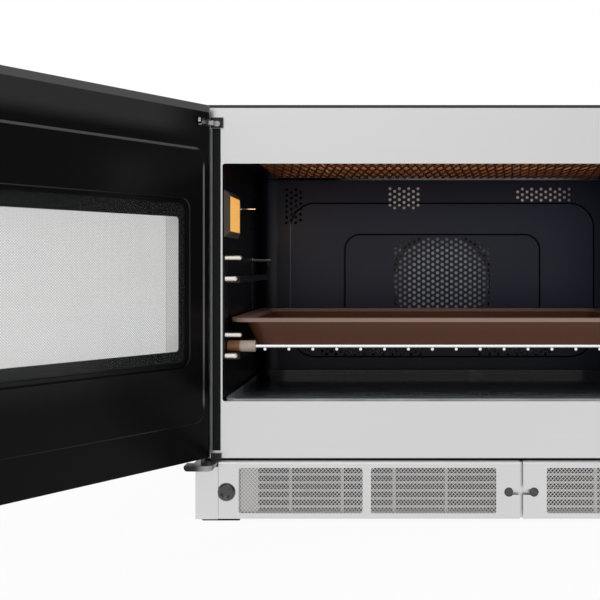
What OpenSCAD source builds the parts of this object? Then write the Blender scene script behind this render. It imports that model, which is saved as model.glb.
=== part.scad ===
// Over-the-range combination oven: microwave, convection fan and grill in one case.
// Lengths are in millimetres. Inside the modules x runs to the viewer's right from the
// centreline, y runs back from the front frame and z runs up from under the feet.
// in_frame() then puts the origin at the centre of the wall face.

/* [Case] */
// Width over the vent strip and the control panel
unit_w = 759; // [752:1:780]
// Height from under the feet to the top lip
unit_h = 486; // [482:1:500]
// Depth of the case behind the front frame
case_d = 405; // [402:1:430]
// Inset of each case side from the full width
case_inset = 6; // [5:0.5:8]
// Thickness of the case sheets
sheet_t = 1; // [0.8:0.1:1.2]
// Height of the top lip above the front frame
top_lip = 3.5; // [3:0.5:7]
// Height of the feet
foot_h = 3; // [2:0.5:4]
// Length of each foot pad along the front
foot_l = 46; // [36:1:56]

/* [Front frame] */
// Height of the front frame's lower edge
frame_z = 73; // [72:0.5:75]
// Thickness of the front frame
frame_t = 1.2; // [1:0.1:1.5]
// Distance from the unit's left edge to the opening
open_left = 30.5; // [29.5:0.5:32]
// Width of the opening
open_w = 550; // [546:1:556]
// Height of the opening's lower edge
open_z = 139.4; // [138:0.2:141]
// Height of the opening
open_h = 278.1; // [276:0.1:281]
// Width of the dark pad strip on the hinge stile
pad_w = 9.4; // [6:0.2:9.6]

/* [Cavity] */
// Depth of the cavity behind the front frame's face
cav_d = 350; // [347:1:352]
// Step of floor and ceiling behind the opening's edge
cav_lip = 10; // [8:0.5:11]
// Thickness of the cavity sheets
cav_t = 1; // [0.8:0.1:1.2]
// Radius of the two rear corners
cav_r = 25; // [18:1:30]
// Radius of the small vent holes in the walls
vent_r = 2.3; // [2:0.1:2.8]
// Distance between vent holes up a column
vent_pitch = 8.4; // [8:0.1:10]
// Distance between columns of vent holes
vent_step = 7.1; // [6.8:0.1:9]

/* [Fan cover] */
// Width of the outer embossed panel
cover_w = 463; // [450:1:470]
// Height of the outer embossed panel
cover_h = 236; // [230:1:238]
// Height of its lower edge above the cavity floor
cover_up = 29.5; // [28:0.5:32]
// Corner radius of the outer panel
cover_r = 39; // [30:1:46]
// Width of the inner raised panel
inner_w = 298; // [280:1:310]
// Height of the inner raised panel
inner_h = 154; // [152:1:160]
// Corner radius of the inner panel
inner_r = 25; // [16:1:30]
// Width of the octagon of fan holes
fan_field = 147; // [120:1:150]
// Height of the octagon of fan holes
fan_high = 140; // [120:1:144]
// Distance between fan holes up a column
fan_pitch = 8.5; // [8:0.1:9]
// Distance between columns of fan holes
fan_step = 7.05; // [6.8:0.05:8]
// Radius of a fan hole
fan_hole_r = 2.5; // [2:0.1:2.8]
// Width of the groove round a raised panel
groove_w = 2.4; // [1.6:0.1:3]
// Diameter of the convection fan
fan_d = 124; // [100:1:130]
// Number of fan blades
fan_blades = 12; // [8:1:16]

/* [Grill] */
// Distance between the ceiling grille's holes
grille_pitch = 22; // [20:1:26]
// Radius of a ceiling grille hole
grille_hole_r = 8; // [5:0.5:8.5]
// Radius of the grill element's tube
element_r = 3.5; // [3:0.1:4]
// Number of straight runs of the grill element
element_runs = 4; // [2:2:4]

/* [Rack and pan] */
// Radius of the rack's frame bars
rack_r = 2.35; // [2:0.05:2.8]
// Radius of the rack's cross wires
wire_r = 1.7; // [1.4:0.1:2]
// Distance between cross wires
wire_pitch = 28.5; // [26:0.5:30]
// Radius of the rack's end sleeves
cap_r = 6.7; // [6:0.1:7.4]
// Length of the rack's end sleeves
cap_l = 33; // [28:1:36]
// Height of the lower rack level's support pin
level_z = 192.2; // [189:0.2:193]
// Distance between the two rack levels
level_pitch = 90.5; // [86:0.5:94]
// Distance from a support pin up to its guide pin
guide_up = 24.5; // [23:0.1:28]
// Radius of the support pins
support_r = 3.1; // [2.8:0.1:3.6]
// Radius of the guide pins
guide_r = 2.6; // [2.2:0.1:3]
// Reach of a guide pin into the cavity
guide_l = 22; // [18:0.5:22]
// Width of the pan over its lip
pan_w = 508; // [490:1:508]
// Depth of the pan over its lip
pan_l = 306; // [280:1:308]
// Height of the pan
pan_h = 35; // [26:1:37]
// Height of the pan's rolled rim
pan_roll = 4.5; // [3:0.1:6]
// Thickness of the pan's wall
pan_t = 1.6; // [1.2:0.1:2]
// Height of the floor tray's rim
tray_h = 12; // [9:0.5:14]
// Thickness of the floor tray
tray_t = 3; // [2.5:0.1:4]

/* [Door] */
// Thickness of the door
door_t = 38; // [36:0.5:40]
// Gap between the closed door and the front frame
door_gap = 4; // [3.8:0.1:4.4]
// Angle at which the door stands open
door_open = 123; // [90:1:123]
// Inset of the door's hinge edge from the full width
door_inset = 3.5; // [3:0.1:4]
// Distance from the hinge pin to the door's hinge edge
pin_in = 6.5; // [6:0.1:7]
// Distance from the hinge pin to the door's inner face
pin_back = 8; // [7.5:0.1:8.2]
// Radius of the hinge pins
pin_r = 2.5; // [2:0.1:2.8]
// Running clearance round a hinge pin or a shaft
run_gap = 0.06; // [0.03:0.01:0.09]
// Height of the door's raised rim above its inner face
rim_up = 2.2; // [1.5:0.1:2.4]
// Width of the mesh window
screen_w = 508; // [480:1:512]
// Height of the mesh window
screen_h = 151; // [140:1:152]
// Radius of the door handle's bar
handle_r = 9; // [7:0.5:10]
// Length of the door handle
handle_l = 300; // [240:5:330]
// Reach of the handle in front of the door
handle_out = 40; // [35:1:46]

/* [Vent strip] */
// Depth of the vent strip's face in front of the front frame
strip_out = 6; // [5.5:0.5:7]
// Radius of the strip's rounded top edge
strip_r = 4; // [3:0.5:5]
// Number of slot rows behind each window
slot_rows = 6; // [4:1:6]
// Distance between slot rows
slot_pitch = 9.35; // [8.5:0.05:9.6]
// Height of a slot
slot_h = 6.5; // [4:0.1:7]
// Radius of the round fixing knobs
knob_r = 10.2; // [8:0.1:10.6]
// Distance from the centreline to a fixing knob
knob_x = 343.4; // [343:0.1:346]

/* [Hood] */
// Diameter of the blower wheel
blower_d = 110; // [90:2:112]
// Number of blower vanes
blower_vanes = 24; // [16:2:28]
// Width of the duct outlet
duct_w = 254; // [240:1:260]
// Depth of the duct outlet
duct_d = 68; // [60:1:70]
// Height of the duct outlet's collar above the case
duct_h = 18; // [14:1:24]

/* [Mounting holes] */
// Distance between the wall holes across the back
wall_hole_x = 406.4; // [400:0.1:420]
// Distance between the wall holes up the back
wall_hole_z = 300; // [280:1:310]
// Radius of the wall holes
wall_hole_r = 3.3; // [3:0.1:3.6]
// Distance between the cabinet holes in the top
top_hole_x = 558.8; // [540:0.1:580]
// Distance of the cabinet holes behind the front frame
top_hole_y = 60; // [50:1:80]
// Radius of the cabinet holes
top_hole_r = 3.6; // [3.3:0.1:4]

/* [Hidden] */

$fn = 48;

// Gap between two pieces that only rest on each other
seat = 0.2;
// Gap that keeps a moving piece clear of a fixed one
clear = 0.6;
// Extra length that lets a cut pass through a face
over = 1;

unit_x = unit_w / 2;
panel_end = unit_x - 26.5;
collar_y = case_d - 8 - duct_d;
case_x = unit_x - case_inset;
frame_top = unit_h - top_lip;
open_x0 = -unit_x + open_left;
open_x1 = open_x0 + open_w;
open_top = open_z + open_h;
cav_x = (open_x0 + open_x1) / 2;
floor_z = open_z - cav_lip;
ceiling_z = open_top + cav_lip;
cav_h = ceiling_z - floor_z;

// The fan sits behind the middle of the cover's octagon
fan_z = floor_z + cover_up + 113.5;
cover_t = 3;
inner_up = 3;
cover_sheet = 1.2;
field_side = 35;
field_top = 17.5;
groove_deep = 2;
fan_shaft_r = 3;
chamber_d = 27;
chamber_w = 196;
chamber_y = cav_d + cav_t;
motor_y = chamber_y + chamber_d;
wheel_y = chamber_y + 5;
wheel_t = 15;
ring_r = fan_d / 2 + 14;
ring_tube_r = 3.2;

// Grill element above the ceiling
grille_side = 23;
grille_w = open_w - 2 * grille_side;
grille_y0 = 30;
grille_l = collar_y - 5 - grille_y0;
grille_edge = 7;
grille_t = 1.2;
grille_y = grille_y0 + grille_l / 2;
element_z = ceiling_z + cav_t + grille_t + 11;
element_gap = 62;
element_end = 52;
element_l = grille_w - 2 * element_end;
element_tail = 40;
hanger_in = 30;
reflector_t = 1;
reflector_z = element_z + element_r + 8;

// Lamp in the left wall
lamp_y0 = 11;
lamp_l = 109;
lamp_up = 203;
lamp_z = floor_z + lamp_up;
lamp_h = 56;
lamp_out = 5;
lamp_bevel = 16;
lamp_edge = 7;
socket_d = 18;

// Rack, seen from its own centre
cap_gap = 2.6;
rack_z = level_z + support_r + 0.3 + cap_r;
rack_y0 = 24;
rack_y1 = 318;
bar_half = open_w / 2 - cap_gap - 4;
side_x = open_w / 2 - cap_gap - 12;
wire_z = rack_z - rack_r - wire_r + 0.45;
wire_count = 2 * floor((side_x - 25) / wire_pitch) + 1;
rail_h = 8;
rail_out = 18;
hook_y = 256;
hook_l = 25;
hook_t = 3.5;
hook_up = support_r + 0.3 + 2 * cap_r + clear;
rail_y0 = 14;
rail_y1 = 300;
pin_y = 6;

pan_x = cav_x - 16;
pan_y0 = rack_y0 - 8;
pan_z = wire_z + wire_r + 0.3;
pan_lip = 15;
pan_taper = 14;
tray_side = 1.5;
tray_y0 = 5;
tray_y1 = cav_d - cover_t - inner_up - 2;
tray_r = 14;

// Door, drawn closed: y from -door_gap - door_t to -door_gap
door_x0 = -unit_x + door_inset;
door_x1 = open_x1 + 25;
door_z0 = frame_z + 2;
door_z1 = unit_h - 2;
door_in = -door_gap;
door_out = -door_gap - door_t;
door_w = door_x1 - door_x0;
door_h = door_z1 - door_z0;
skin_t = 1;
skin_deep = 14;
glass_t = 4;
pin_x = door_x0 + pin_in;
hinge_y = -door_gap - pin_back;
rim_x = 13.5;
rim_z = 118;
rim_top = 433;
recess_edge = 5;
recess_deep = 4.5;
recess_low = 13;
recess_high = 15.5;
ledge = 4.5;
ledge_deep = 1;
lip_t = 1.5;
inner_glass_t = 3;
screen_x = cav_x - screen_w / 2;
screen_z = 201.8;
screen_t = 0.4;
screen_y = door_in - recess_deep - lip_t;
screen_lap = 8;
handle_x = door_x1 - 31;
handle_z = (door_z0 + door_z1) / 2;
post_r = 6;

// Hinges
pad_gap = 2.2;
plate_x = -362;
plate_w = 14;
plate_h = 12;
plate_t = 3;
upper_z = 459;
arm_r = 3.2;
arm_z = upper_z + 4.4;
arm_tip = 0.8;
lower_t = 6;
arm_end = unit_x - 16 - panel_end - 0.5;
lower_z = frame_z - 8.5;
leg_h = 8.5;
leaf_h = 13;
arm_out = 7.5;
pocket_r = 15;

// Latch
latch_x = door_x1 - 6;
latch_w = 4;
latch_z = [200, 350];
latch_travel = 4;
hook_h = 12;
hook_reach = 20;

// Vent strip
strip_z0 = foot_h;
strip_z1 = frame_z - 2.5;
panel_gap = 1.95;
panel_t = 1.2;
panel_deep = 5;
window_z0 = strip_z0 + 7;
window_h = 52.6;
window_a = [-329, -185];
window_b = [-175, -29.5];
slot_w = 57.3;
slot_step = 60.8;
slot_x0 = -268;
first_slot_w = 36;
first_slot_x = -307;
slot_mid = window_z0 + window_h / 2 - 1.1;
knob_z = strip_z0 + 31.6;
stud_x = 14.6;
stud_r = 5;
key_h = 6.7;
strip_back = 12;

// Right bay
bay_x = open_x1 + cav_t;
core_x = case_x - 108;
can_x = case_x - 71;
bezel_x0 = door_x1 + 3;
bezel_x1 = unit_x;
board_z0 = frame_z + 112;
board_z1 = unit_h - 55;
duct_deep = 51.5;
duct_z = unit_h - sheet_t - duct_deep;
wheel_x = 307;
wheel_half = 32;
scroll_y = 326;
scroll_z = 300;
scroll_t = 1.2;
scroll_r = blower_d / 2 + 8;
outlet_y0 = scroll_y - scroll_r;
outlet_l = 2 * scroll_r - 34;
flap_t = 1.5;
well_z = floor_z - 22;
guide_z = well_z - 19;
antenna_y = 176;
guide_w = 84;
guide_d = 40;
guide_top = 331;
cover_disc_r = 115;
cover_disc_t = 4;

// Placing and profile helpers
module in_frame() {
  translate([0, -case_d, -unit_h / 2]) children();
}

module block(x0, x1, y0, y1, z0, z1) {
  translate([x0, y0, z0]) cube([x1 - x0, y1 - y0, z1 - z0]);
}

module rounded_rect(w, h, r) {
  union() {
    translate([r, 0]) square([w - 2 * r, h]);
    translate([0, r]) square([w, h - 2 * r]);
    for (x = [r, w - r], y = [r, h - r]) translate([x, y]) circle(r);
  }
}

// Extrudes an x-z outline back along y, from y0 to y1
module upright(y0, y1) {
  translate([0, y1, 0]) rotate([90, 0, 0]) linear_extrude(y1 - y0) children();
}

module upright_rect(x0, x1, y0, y1, z0, z1, r) {
  upright(y0, y1) translate([x0, z0]) rounded_rect(x1 - x0, z1 - z0, r);
}

module rod_x(x0, x1, y, z, r) {
  translate([x0, y, z]) rotate([0, 90, 0]) cylinder(h = x1 - x0, r = r);
}

module rod_y(y0, y1, x, z, r) {
  translate([x, y1, z]) rotate([90, 0, 0]) cylinder(h = y1 - y0, r = r);
}

module rod_z(z0, z1, x, y, r) {
  translate([x, y, z0]) cylinder(h = z1 - z0, r = r);
}

// Upright columns of holes, as a flat pattern. Every second column starts half a hole
// further up, or down where low is 1, and has some holes more or fewer.
module hole_columns(x0, z0, columns, rows, step, pitch, r, low = 0, more = -1) {
  for (i = [0:columns - 1]) {
    odd = i % 2;
    for (j = [0:rows - 1 + odd * more])
      translate([x0 + step * i, z0 + pitch * (j + odd * (0.5 - low))]) circle(r, $fn = 8);
  }
}

// Columns of holes that fill a box
module hole_field(x0, x1, z0, z1, step, pitch, r) {
  hole_columns(x0, z0, floor((x1 - x0) / step) + 1, floor((z1 - z0) / pitch) + 1, step, pitch, r);
}

// Vents through the back wall and the cover on it
module back_vents() {
  hole_columns(open_x0 + 39, ceiling_z - 64, 4, 7, vent_step, vent_pitch, vent_r);
  hole_columns(cav_x - 79, ceiling_z - 37.2, 7, 4, vent_step, vent_pitch, vent_r, 1, 0);
  hole_columns(cav_x + 115, ceiling_z - 25.3, 12, 2, vent_step, vent_pitch, vent_r, 1, 1);
  hole_columns(cav_x - 182, floor_z + 39.4, 22, 2, vent_step, vent_pitch, vent_r, 1, 0);
  hole_columns(cav_x + 50, floor_z + 39.4, 17, 2, vent_step, vent_pitch, vent_r, 1, 0);
}

module door_turn() {
  translate([pin_x, hinge_y, 0]) rotate([0, 0, -door_open])
    translate([-pin_x, -hinge_y, 0]) children();
}

module mirror_cavity() {
  translate([2 * cav_x, 0, 0]) mirror([1, 0, 0]) children();
}

module both_sides() {
  children();
  mirror([1, 0, 0]) children();
}

// Case
module outer_case() {
  color([0.16, 0.16, 0.17]) in_frame() difference() {
    block(-case_x, case_x, 0, case_d - sheet_t, frame_z, unit_h);
    // The top sheet is folded down in front, above the front frame
    block(-case_x + sheet_t, case_x - sheet_t, -over, frame_t + over, frame_z - over, frame_top + seat);
    block(-case_x + sheet_t, case_x - sheet_t, frame_t, case_d, frame_z - over, unit_h - sheet_t);
    block(-duct_w / 2, duct_w / 2, collar_y, collar_y + duct_d, unit_h - 2 * sheet_t, unit_h + over);
    for (x = [-top_hole_x / 2, top_hole_x / 2])
      rod_z(unit_h - 2 * sheet_t, unit_h + over, x, top_hole_y, top_hole_r);
  }
}

module front_frame() {
  color([0.82, 0.82, 0.82]) in_frame() difference() {
    union() {
      upright(0, frame_t) difference() {
        translate([-case_x + sheet_t + seat, frame_z])
          square([2 * (case_x - sheet_t - seat), frame_top - frame_z]);
        translate([open_x0, open_z]) rounded_rect(open_w, open_h, 3);
        for (z = latch_z) translate([latch_x - 4, z - 10]) square([8, 24]);
        translate([bezel_x0 + 12, board_z0 - 2])
          square([bezel_x1 - bezel_x0 - 34, board_z1 - board_z0 + 4]);
      }
      // Folded edges that stiffen the plate
      block(-case_x + 2, case_x - 2, frame_t, 12, frame_z, frame_z + frame_t);
      block(-case_x + 2, case_x - 2, frame_t, 12, frame_top - frame_t, frame_top);
    }
  }
}

module rear_panel() {
  color([0.6, 0.6, 0.62]) in_frame()
    upright(case_d - sheet_t, case_d) difference() {
      translate([-case_x, frame_z]) square([2 * case_x, unit_h - frame_z]);
      for (x = [-wall_hole_x / 2, wall_hole_x / 2], z = [-wall_hole_z / 2, wall_hole_z / 2])
        translate([x, unit_h / 2 + 30 + z]) circle(wall_hole_r);
      for (i = [0:5]) translate([bay_x + 40 + 14 * i, frame_z + 30]) square([7, 60]);
    }
}

module base_housing() {
  color([0.3, 0.3, 0.31]) in_frame() difference() {
    block(-case_x, case_x, strip_back, case_d, foot_h, frame_z);
    block(-case_x + sheet_t, case_x - sheet_t, strip_back - over, case_d - sheet_t,
          foot_h + sheet_t, frame_z - sheet_t);
    // Air drawn in through the filters rises here to the blower
    block(bay_x + 20, case_x - 20, scroll_y - 60, scroll_y + 50, frame_z - 2 * sheet_t, frame_z + over);
  }
}

module feet() {
  color([0.12, 0.12, 0.12]) in_frame() both_sides()
    for (y = [0, case_d - 40])
      upright(y, y + 30) polygon([
        [-unit_x + 4.5, foot_h], [-unit_x + 4.5 + foot_h, 0],
        [-unit_x + 4.5 + foot_l, 0], [-unit_x + 4.5 + foot_l, foot_h]
      ]);
}

module stile_pad() {
  color([0.18, 0.19, 0.19]) in_frame()
    block(open_x0 - pad_gap - pad_w, open_x0 - pad_gap, -1.2, 0, frame_z + leg_h + 0.5, upper_z - 0.5);
}

module hinge_plates() {
  color([0.08, 0.08, 0.08]) in_frame() {
    block(plate_x, plate_x + plate_w, -plate_t, 0, upper_z, upper_z + plate_h);
    block(plate_x, plate_x + plate_w - 2, -plate_t, 0, lower_z + lower_t, lower_z + lower_t + leg_h);
  }
}

module hinge_arms() {
  color([0.75, 0.75, 0.76]) in_frame() {
    // Upper arm, which widens to a rounded end on its plate, with its pin
    intersection() {
      union() {
        rod_z(arm_z - arm_r, arm_z + arm_r, pin_x, hinge_y, 6.5);
        block(pin_x - 6, pin_x + 12, hinge_y, -plate_t, arm_z - arm_r, arm_z + arm_r);
        block(pin_x + 11, plate_x + plate_w, -plate_t - 2.6, -plate_t, arm_z - arm_r, arm_z + arm_r);
      }
      upright(-50, 20) union() {
        polygon([
          [pin_x - 6.5, arm_z - arm_tip], [plate_x + plate_w - 3 - arm_r, arm_z - arm_r],
          [plate_x + plate_w - 3 - arm_r, arm_z + arm_r], [pin_x - 6.5, arm_z + arm_tip]
        ]);
        translate([plate_x + plate_w - 3 - arm_r, arm_z]) circle(arm_r);
      }
    }
    rod_z(arm_z, upper_z + 20, pin_x, hinge_y, pin_r);
    // Lower arm with its pin
    intersection() {
      translate([0, 0, lower_z]) linear_extrude(lower_t) union() {
        translate([-unit_x + 0.5, -26]) square([15.5, 34]);
        translate([-unit_x - arm_out, -26 - arm_end]) square([arm_out + 16, 10 + arm_end]);
        translate([-unit_x + 16, -26]) square([arm_end, 34]);
        translate([-unit_x + 16, -26]) circle(arm_end);
      }
      upright_rect(-unit_x - arm_out, -unit_x + 16 + arm_end, -50, 20,
                    lower_z, lower_z + 2 * lower_t, 4);
    }
    rod_z(lower_z + lower_t, door_z0 + leaf_h, pin_x, hinge_y, pin_r);
  }
}

// Cavity
module cavity_left() {
  color([0.1, 0.11, 0.15]) in_frame() difference() {
    block(open_x0 - cav_t, open_x0, frame_t, cav_d - cav_r, floor_z - cav_t, ceiling_z + cav_t);
    block(open_x0 - 2 * cav_t, open_x0 + over, lamp_y0 + lamp_bevel, lamp_y0 + lamp_l - lamp_bevel,
          lamp_z + lamp_edge, lamp_z + lamp_h - lamp_edge);
    translate([open_x0 - 2 * cav_t, 0, 0]) rotate([90, 0, 90]) linear_extrude(3 * cav_t)
      hole_field(lamp_y0 + lamp_l + 110, cav_d - cav_r - 12, lamp_z + 18, lamp_z + 66,
                 vent_step + 2, vent_pitch + 3, vent_r);
  }
}

module cavity_right() {
  color([0.1, 0.11, 0.15]) in_frame() difference() {
    block(open_x1, open_x1 + cav_t, frame_t, cav_d - cav_r, floor_z - cav_t, ceiling_z + cav_t);
    translate([open_x1 - cav_t, 0, 0]) rotate([90, 0, 90]) linear_extrude(3 * cav_t)
      hole_field(lamp_y0 + lamp_l + 110, cav_d - cav_r - 12, lamp_z + 18, lamp_z + 66,
                 vent_step + 2, vent_pitch + 3, vent_r);
  }
}

module corner_sheet() {
  translate([0, 0, floor_z - cav_t]) linear_extrude(cav_h + 2 * cav_t) intersection() {
    translate([open_x0 + cav_r, cav_d - cav_r]) difference() {
      circle(cav_r + cav_t);
      circle(cav_r);
    }
    translate([open_x0 - over, cav_d - cav_r]) square([cav_r + over, cav_r + 2 * cav_t]);
  }
}

module cavity_back() {
  color([0.11, 0.12, 0.17]) in_frame() union() {
    corner_sheet();
    mirror_cavity() corner_sheet();
    upright(cav_d, cav_d + cav_t) difference() {
      translate([open_x0 + cav_r, floor_z - cav_t]) square([open_w - 2 * cav_r, cav_h + 2 * cav_t]);
      translate([cav_x - chamber_w / 2 + 6, fan_z - chamber_w / 2 + 6])
        rounded_rect(chamber_w - 12, chamber_w - 12, 20);
      back_vents();
    }
  }
}

module cavity_ceiling() {
  color([0.12, 0.12, 0.15]) in_frame() difference() {
    block(open_x0, open_x1, frame_t, cav_d - cav_r, ceiling_z, ceiling_z + cav_t);
    block(cav_x - grille_w / 2 + grille_edge, cav_x + grille_w / 2 - grille_edge,
          grille_y - grille_l / 2 + grille_edge, cav_d,
          ceiling_z - over, ceiling_z + 2 * cav_t);
  }
}

module cavity_floor() {
  color([0.12, 0.13, 0.15]) in_frame() difference() {
    union() {
      block(open_x0, open_x1, frame_t, cav_d - cav_r, floor_z - cav_t, floor_z);
      block(open_x0 + cav_r, open_x1 - cav_r, cav_d - cav_r - over, cav_d, floor_z - cav_t, floor_z);
    }
    rod_z(floor_z - 2 * cav_t, floor_z + over, cav_x, antenna_y, cover_disc_r - 7);
  }
}

// Half outline of the fan holes' octagon, flatter at the top than at the sides
module fan_octagon(grow) {
  w = fan_field / 2 + grow;
  h = fan_high / 2 + grow;
  translate([cav_x, fan_z]) polygon([
    [-w, field_top - h], [field_side - w, -h], [w - field_side, -h], [w, field_top - h],
    [w, h - field_top], [w - field_side, h], [field_side - w, h], [-w, h - field_top]
  ]);
}

// Groove pressed just inside a rounded panel's edge
module groove(x0, x1, y, z0, z1, r) {
  difference() {
    upright_rect(x0 + 0.6, x1 - 0.6, y - over, y + groove_deep, z0 + 0.6, z1 - 0.6, r - 0.6);
    upright_rect(x0 + 0.6 + groove_w, x1 - 0.6 - groove_w, y - 2 * over, y + groove_deep + over,
                 z0 + 0.6 + groove_w, z1 - 0.6 - groove_w, r - 0.6 - groove_w);
  }
}

module fan_cover() {
  cover_z0 = floor_z + cover_up;
  inner_z1 = fan_z + fan_high / 2 + 5;
  side_columns = floor((fan_field / 2 - fan_hole_r) / fan_step);
  sheet_y = cav_d - cover_t - inner_up;
  color([0.11, 0.12, 0.18]) in_frame() difference() {
    union() {
      upright_rect(cav_x - cover_w / 2, cav_x + cover_w / 2, cav_d - cover_t, cav_d,
                   cover_z0, cover_z0 + cover_h, cover_r);
      upright_rect(cav_x - inner_w / 2, cav_x + inner_w / 2, sheet_y, cav_d,
                   inner_z1 - inner_h, inner_z1, inner_r);
    }
    groove(cav_x - cover_w / 2, cav_x + cover_w / 2, cav_d - cover_t,
           cover_z0, cover_z0 + cover_h, cover_r);
    groove(cav_x - inner_w / 2, cav_x + inner_w / 2, sheet_y, inner_z1 - inner_h, inner_z1, inner_r);
    // The raised panel is pressed sheet, so it is hollow behind
    upright_rect(cav_x - chamber_w / 2 + 8, cav_x + chamber_w / 2 - 8, sheet_y + cover_sheet,
                 cav_d + over, fan_z - fan_high / 2 - 2, fan_z + fan_high / 2 - 1, 12);
    upright(sheet_y - over, cav_d) intersection() {
      hole_columns(cav_x - side_columns * fan_step, fan_z - fan_high / 2 + 4.5, 2 * side_columns + 1,
                   floor((fan_high - 6) / fan_pitch) + 1, fan_step, fan_pitch, fan_hole_r, 0, 0);
      fan_octagon(0);
    }
    upright(cav_d - cover_t - over, cav_d + over) back_vents();
  }
}

module ceiling_grille() {
  color([0.45, 0.3, 0.2]) in_frame() translate([0, 0, ceiling_z + cav_t])
    linear_extrude(grille_t) difference() {
      translate([cav_x - grille_w / 2, grille_y - grille_l / 2]) square([grille_w, grille_l]);
      hole_field(cav_x - grille_w / 2 + 20, cav_x + grille_w / 2 - 20,
                 grille_y - grille_l / 2 + 20, grille_y + grille_l / 2 - 18,
                 grille_pitch * sin(60), grille_pitch, grille_hole_r);
    }
}

module element_bend(y, side) {
  translate([cav_x + side * element_l / 2, y, element_z]) rotate([0, 0, side > 0 ? -90 : 90])
    rotate_extrude(angle = 180) translate([element_gap / 2, 0]) circle(element_r - 0.15);
}

module grill_element() {
  color([0.75, 0.45, 0.25]) in_frame() union() {
    for (i = [0:element_runs - 1])
      rod_x(cav_x - element_l / 2 - (i == 0 ? element_tail : over),
            cav_x + element_l / 2 + (i == element_runs - 1 ? element_tail / 2 : over),
            grille_y + element_gap * (i - (element_runs - 1) / 2), element_z, element_r);
    for (i = [0:element_runs - 2])
      element_bend(grille_y + element_gap * (i + 0.5 - (element_runs - 1) / 2), i % 2 == 0 ? 1 : -1);
  }
}

module grill_reflector() {
  color([0.7, 0.7, 0.7]) in_frame() difference() {
    block(cav_x - grille_w / 2, cav_x + grille_w / 2, grille_y - grille_l / 2,
          grille_y + grille_l / 2, ceiling_z + cav_t + grille_t, reflector_z + reflector_t);
    difference() {
      block(cav_x - grille_w / 2 + reflector_t, cav_x + grille_w / 2 - reflector_t,
            grille_y - grille_l / 2 + reflector_t, grille_y + grille_l / 2 - reflector_t,
            ceiling_z, reflector_z);
      // Hangers that hold the element's runs
      for (x = [hanger_in - element_l / 2, element_l / 2 - hanger_in])
        block(cav_x + x - 1, cav_x + x + 1, grille_y - element_gap * 2, grille_y + element_gap * 2,
              element_z - element_r - 2, reflector_z + over);
    }
    for (i = [0:element_runs - 1])
      rod_x(cav_x - grille_w / 2 - over, cav_x + grille_w / 2 + over,
            grille_y + element_gap * (i - (element_runs - 1) / 2), element_z, element_r + seat);
  }
}

module fan_chamber() {
  color([0.62, 0.62, 0.64]) in_frame() difference() {
    upright_rect(cav_x - chamber_w / 2, cav_x + chamber_w / 2, chamber_y, motor_y,
                 fan_z - chamber_w / 2, fan_z + chamber_w / 2, 24);
    upright_rect(cav_x - chamber_w / 2 + 1, cav_x + chamber_w / 2 - 1, chamber_y - over,
                 motor_y - 1, fan_z - chamber_w / 2 + 1, fan_z + chamber_w / 2 - 1, 23);
    rod_y(motor_y - 2, motor_y + over, cav_x, fan_z, 10);
  }
}

module fan_motor() {
  color([0.35, 0.35, 0.36]) in_frame() difference() {
    union() {
      rod_y(motor_y, case_d - sheet_t - seat, cav_x, fan_z, 32);
      upright_rect(cav_x - 45, cav_x + 45, motor_y, motor_y + 3, fan_z - 12, fan_z + 12, 8);
      rod_y(motor_y - 4, motor_y + over, cav_x, fan_z, 9);
    }
    rod_y(motor_y - 5, motor_y + 14, cav_x, fan_z, fan_shaft_r + run_gap);
  }
}

module fan_wheel() {
  color([0.7, 0.7, 0.72]) in_frame() translate([cav_x, wheel_y, fan_z]) rotate([-90, 0, 0]) {
    cylinder(h = 1.2, r = fan_d / 2 - 6);
    difference() {
      cylinder(h = wheel_t, r = 8);
      translate([0, 0, -over]) cylinder(h = wheel_t - 2, r = 5);
    }
    for (i = [0:fan_blades - 1]) rotate([0, 0, 360 / fan_blades * i])
      translate([fan_d / 2 - 26, 0, 0]) rotate([0, 0, 28]) cube([24, 1.4, wheel_t]);
    cylinder(h = motor_y + 12 - wheel_y, r = fan_shaft_r);
  }
}

module ring_heater() {
  color([0.5, 0.4, 0.35]) in_frame() union() {
    translate([cav_x, chamber_y + 12, fan_z]) rotate([-90, 0, 0])
      rotate_extrude() translate([ring_r, 0]) circle(ring_tube_r);
    for (a = [45, 135, 225, 315]) translate([cav_x, 0, fan_z]) rotate([0, a, 0])
      block(ring_r - 4, ring_r + 4, chamber_y + 12, motor_y - 1, -1, 1);
  }
}

module lamp_profile(grow) {
  polygon([
    [0, -grow], [lamp_out, lamp_bevel - grow], [lamp_out, lamp_l - lamp_bevel + grow],
    [0, lamp_l + grow]
  ]);
}

module lamp_frame() {
  color([0.55, 0.52, 0.5]) in_frame() translate([open_x0, 0, 0]) difference() {
    intersection() {
      translate([0, lamp_y0, lamp_z]) linear_extrude(lamp_h) lamp_profile(0);
      upright(lamp_y0 - over, lamp_y0 + lamp_l + over)
        polygon([[0, lamp_z], [lamp_out, lamp_z + lamp_edge - 1],
                 [lamp_out, lamp_z + lamp_h - lamp_edge + 1], [0, lamp_z + lamp_h]]);
    }
    block(-over, lamp_out + over, lamp_y0 + lamp_bevel, lamp_y0 + lamp_l - lamp_bevel,
          lamp_z + lamp_edge, lamp_z + lamp_h - lamp_edge);
  }
}

module lamp_lens() {
  color([1, 0.75, 0.3]) in_frame() translate([open_x0, 0, 0])
    block(lamp_out - 3, lamp_out - 0.4, lamp_y0 + lamp_bevel + seat,
          lamp_y0 + lamp_l - lamp_bevel - seat, lamp_z + lamp_edge + seat,
          lamp_z + lamp_h - lamp_edge - seat);
}

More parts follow.
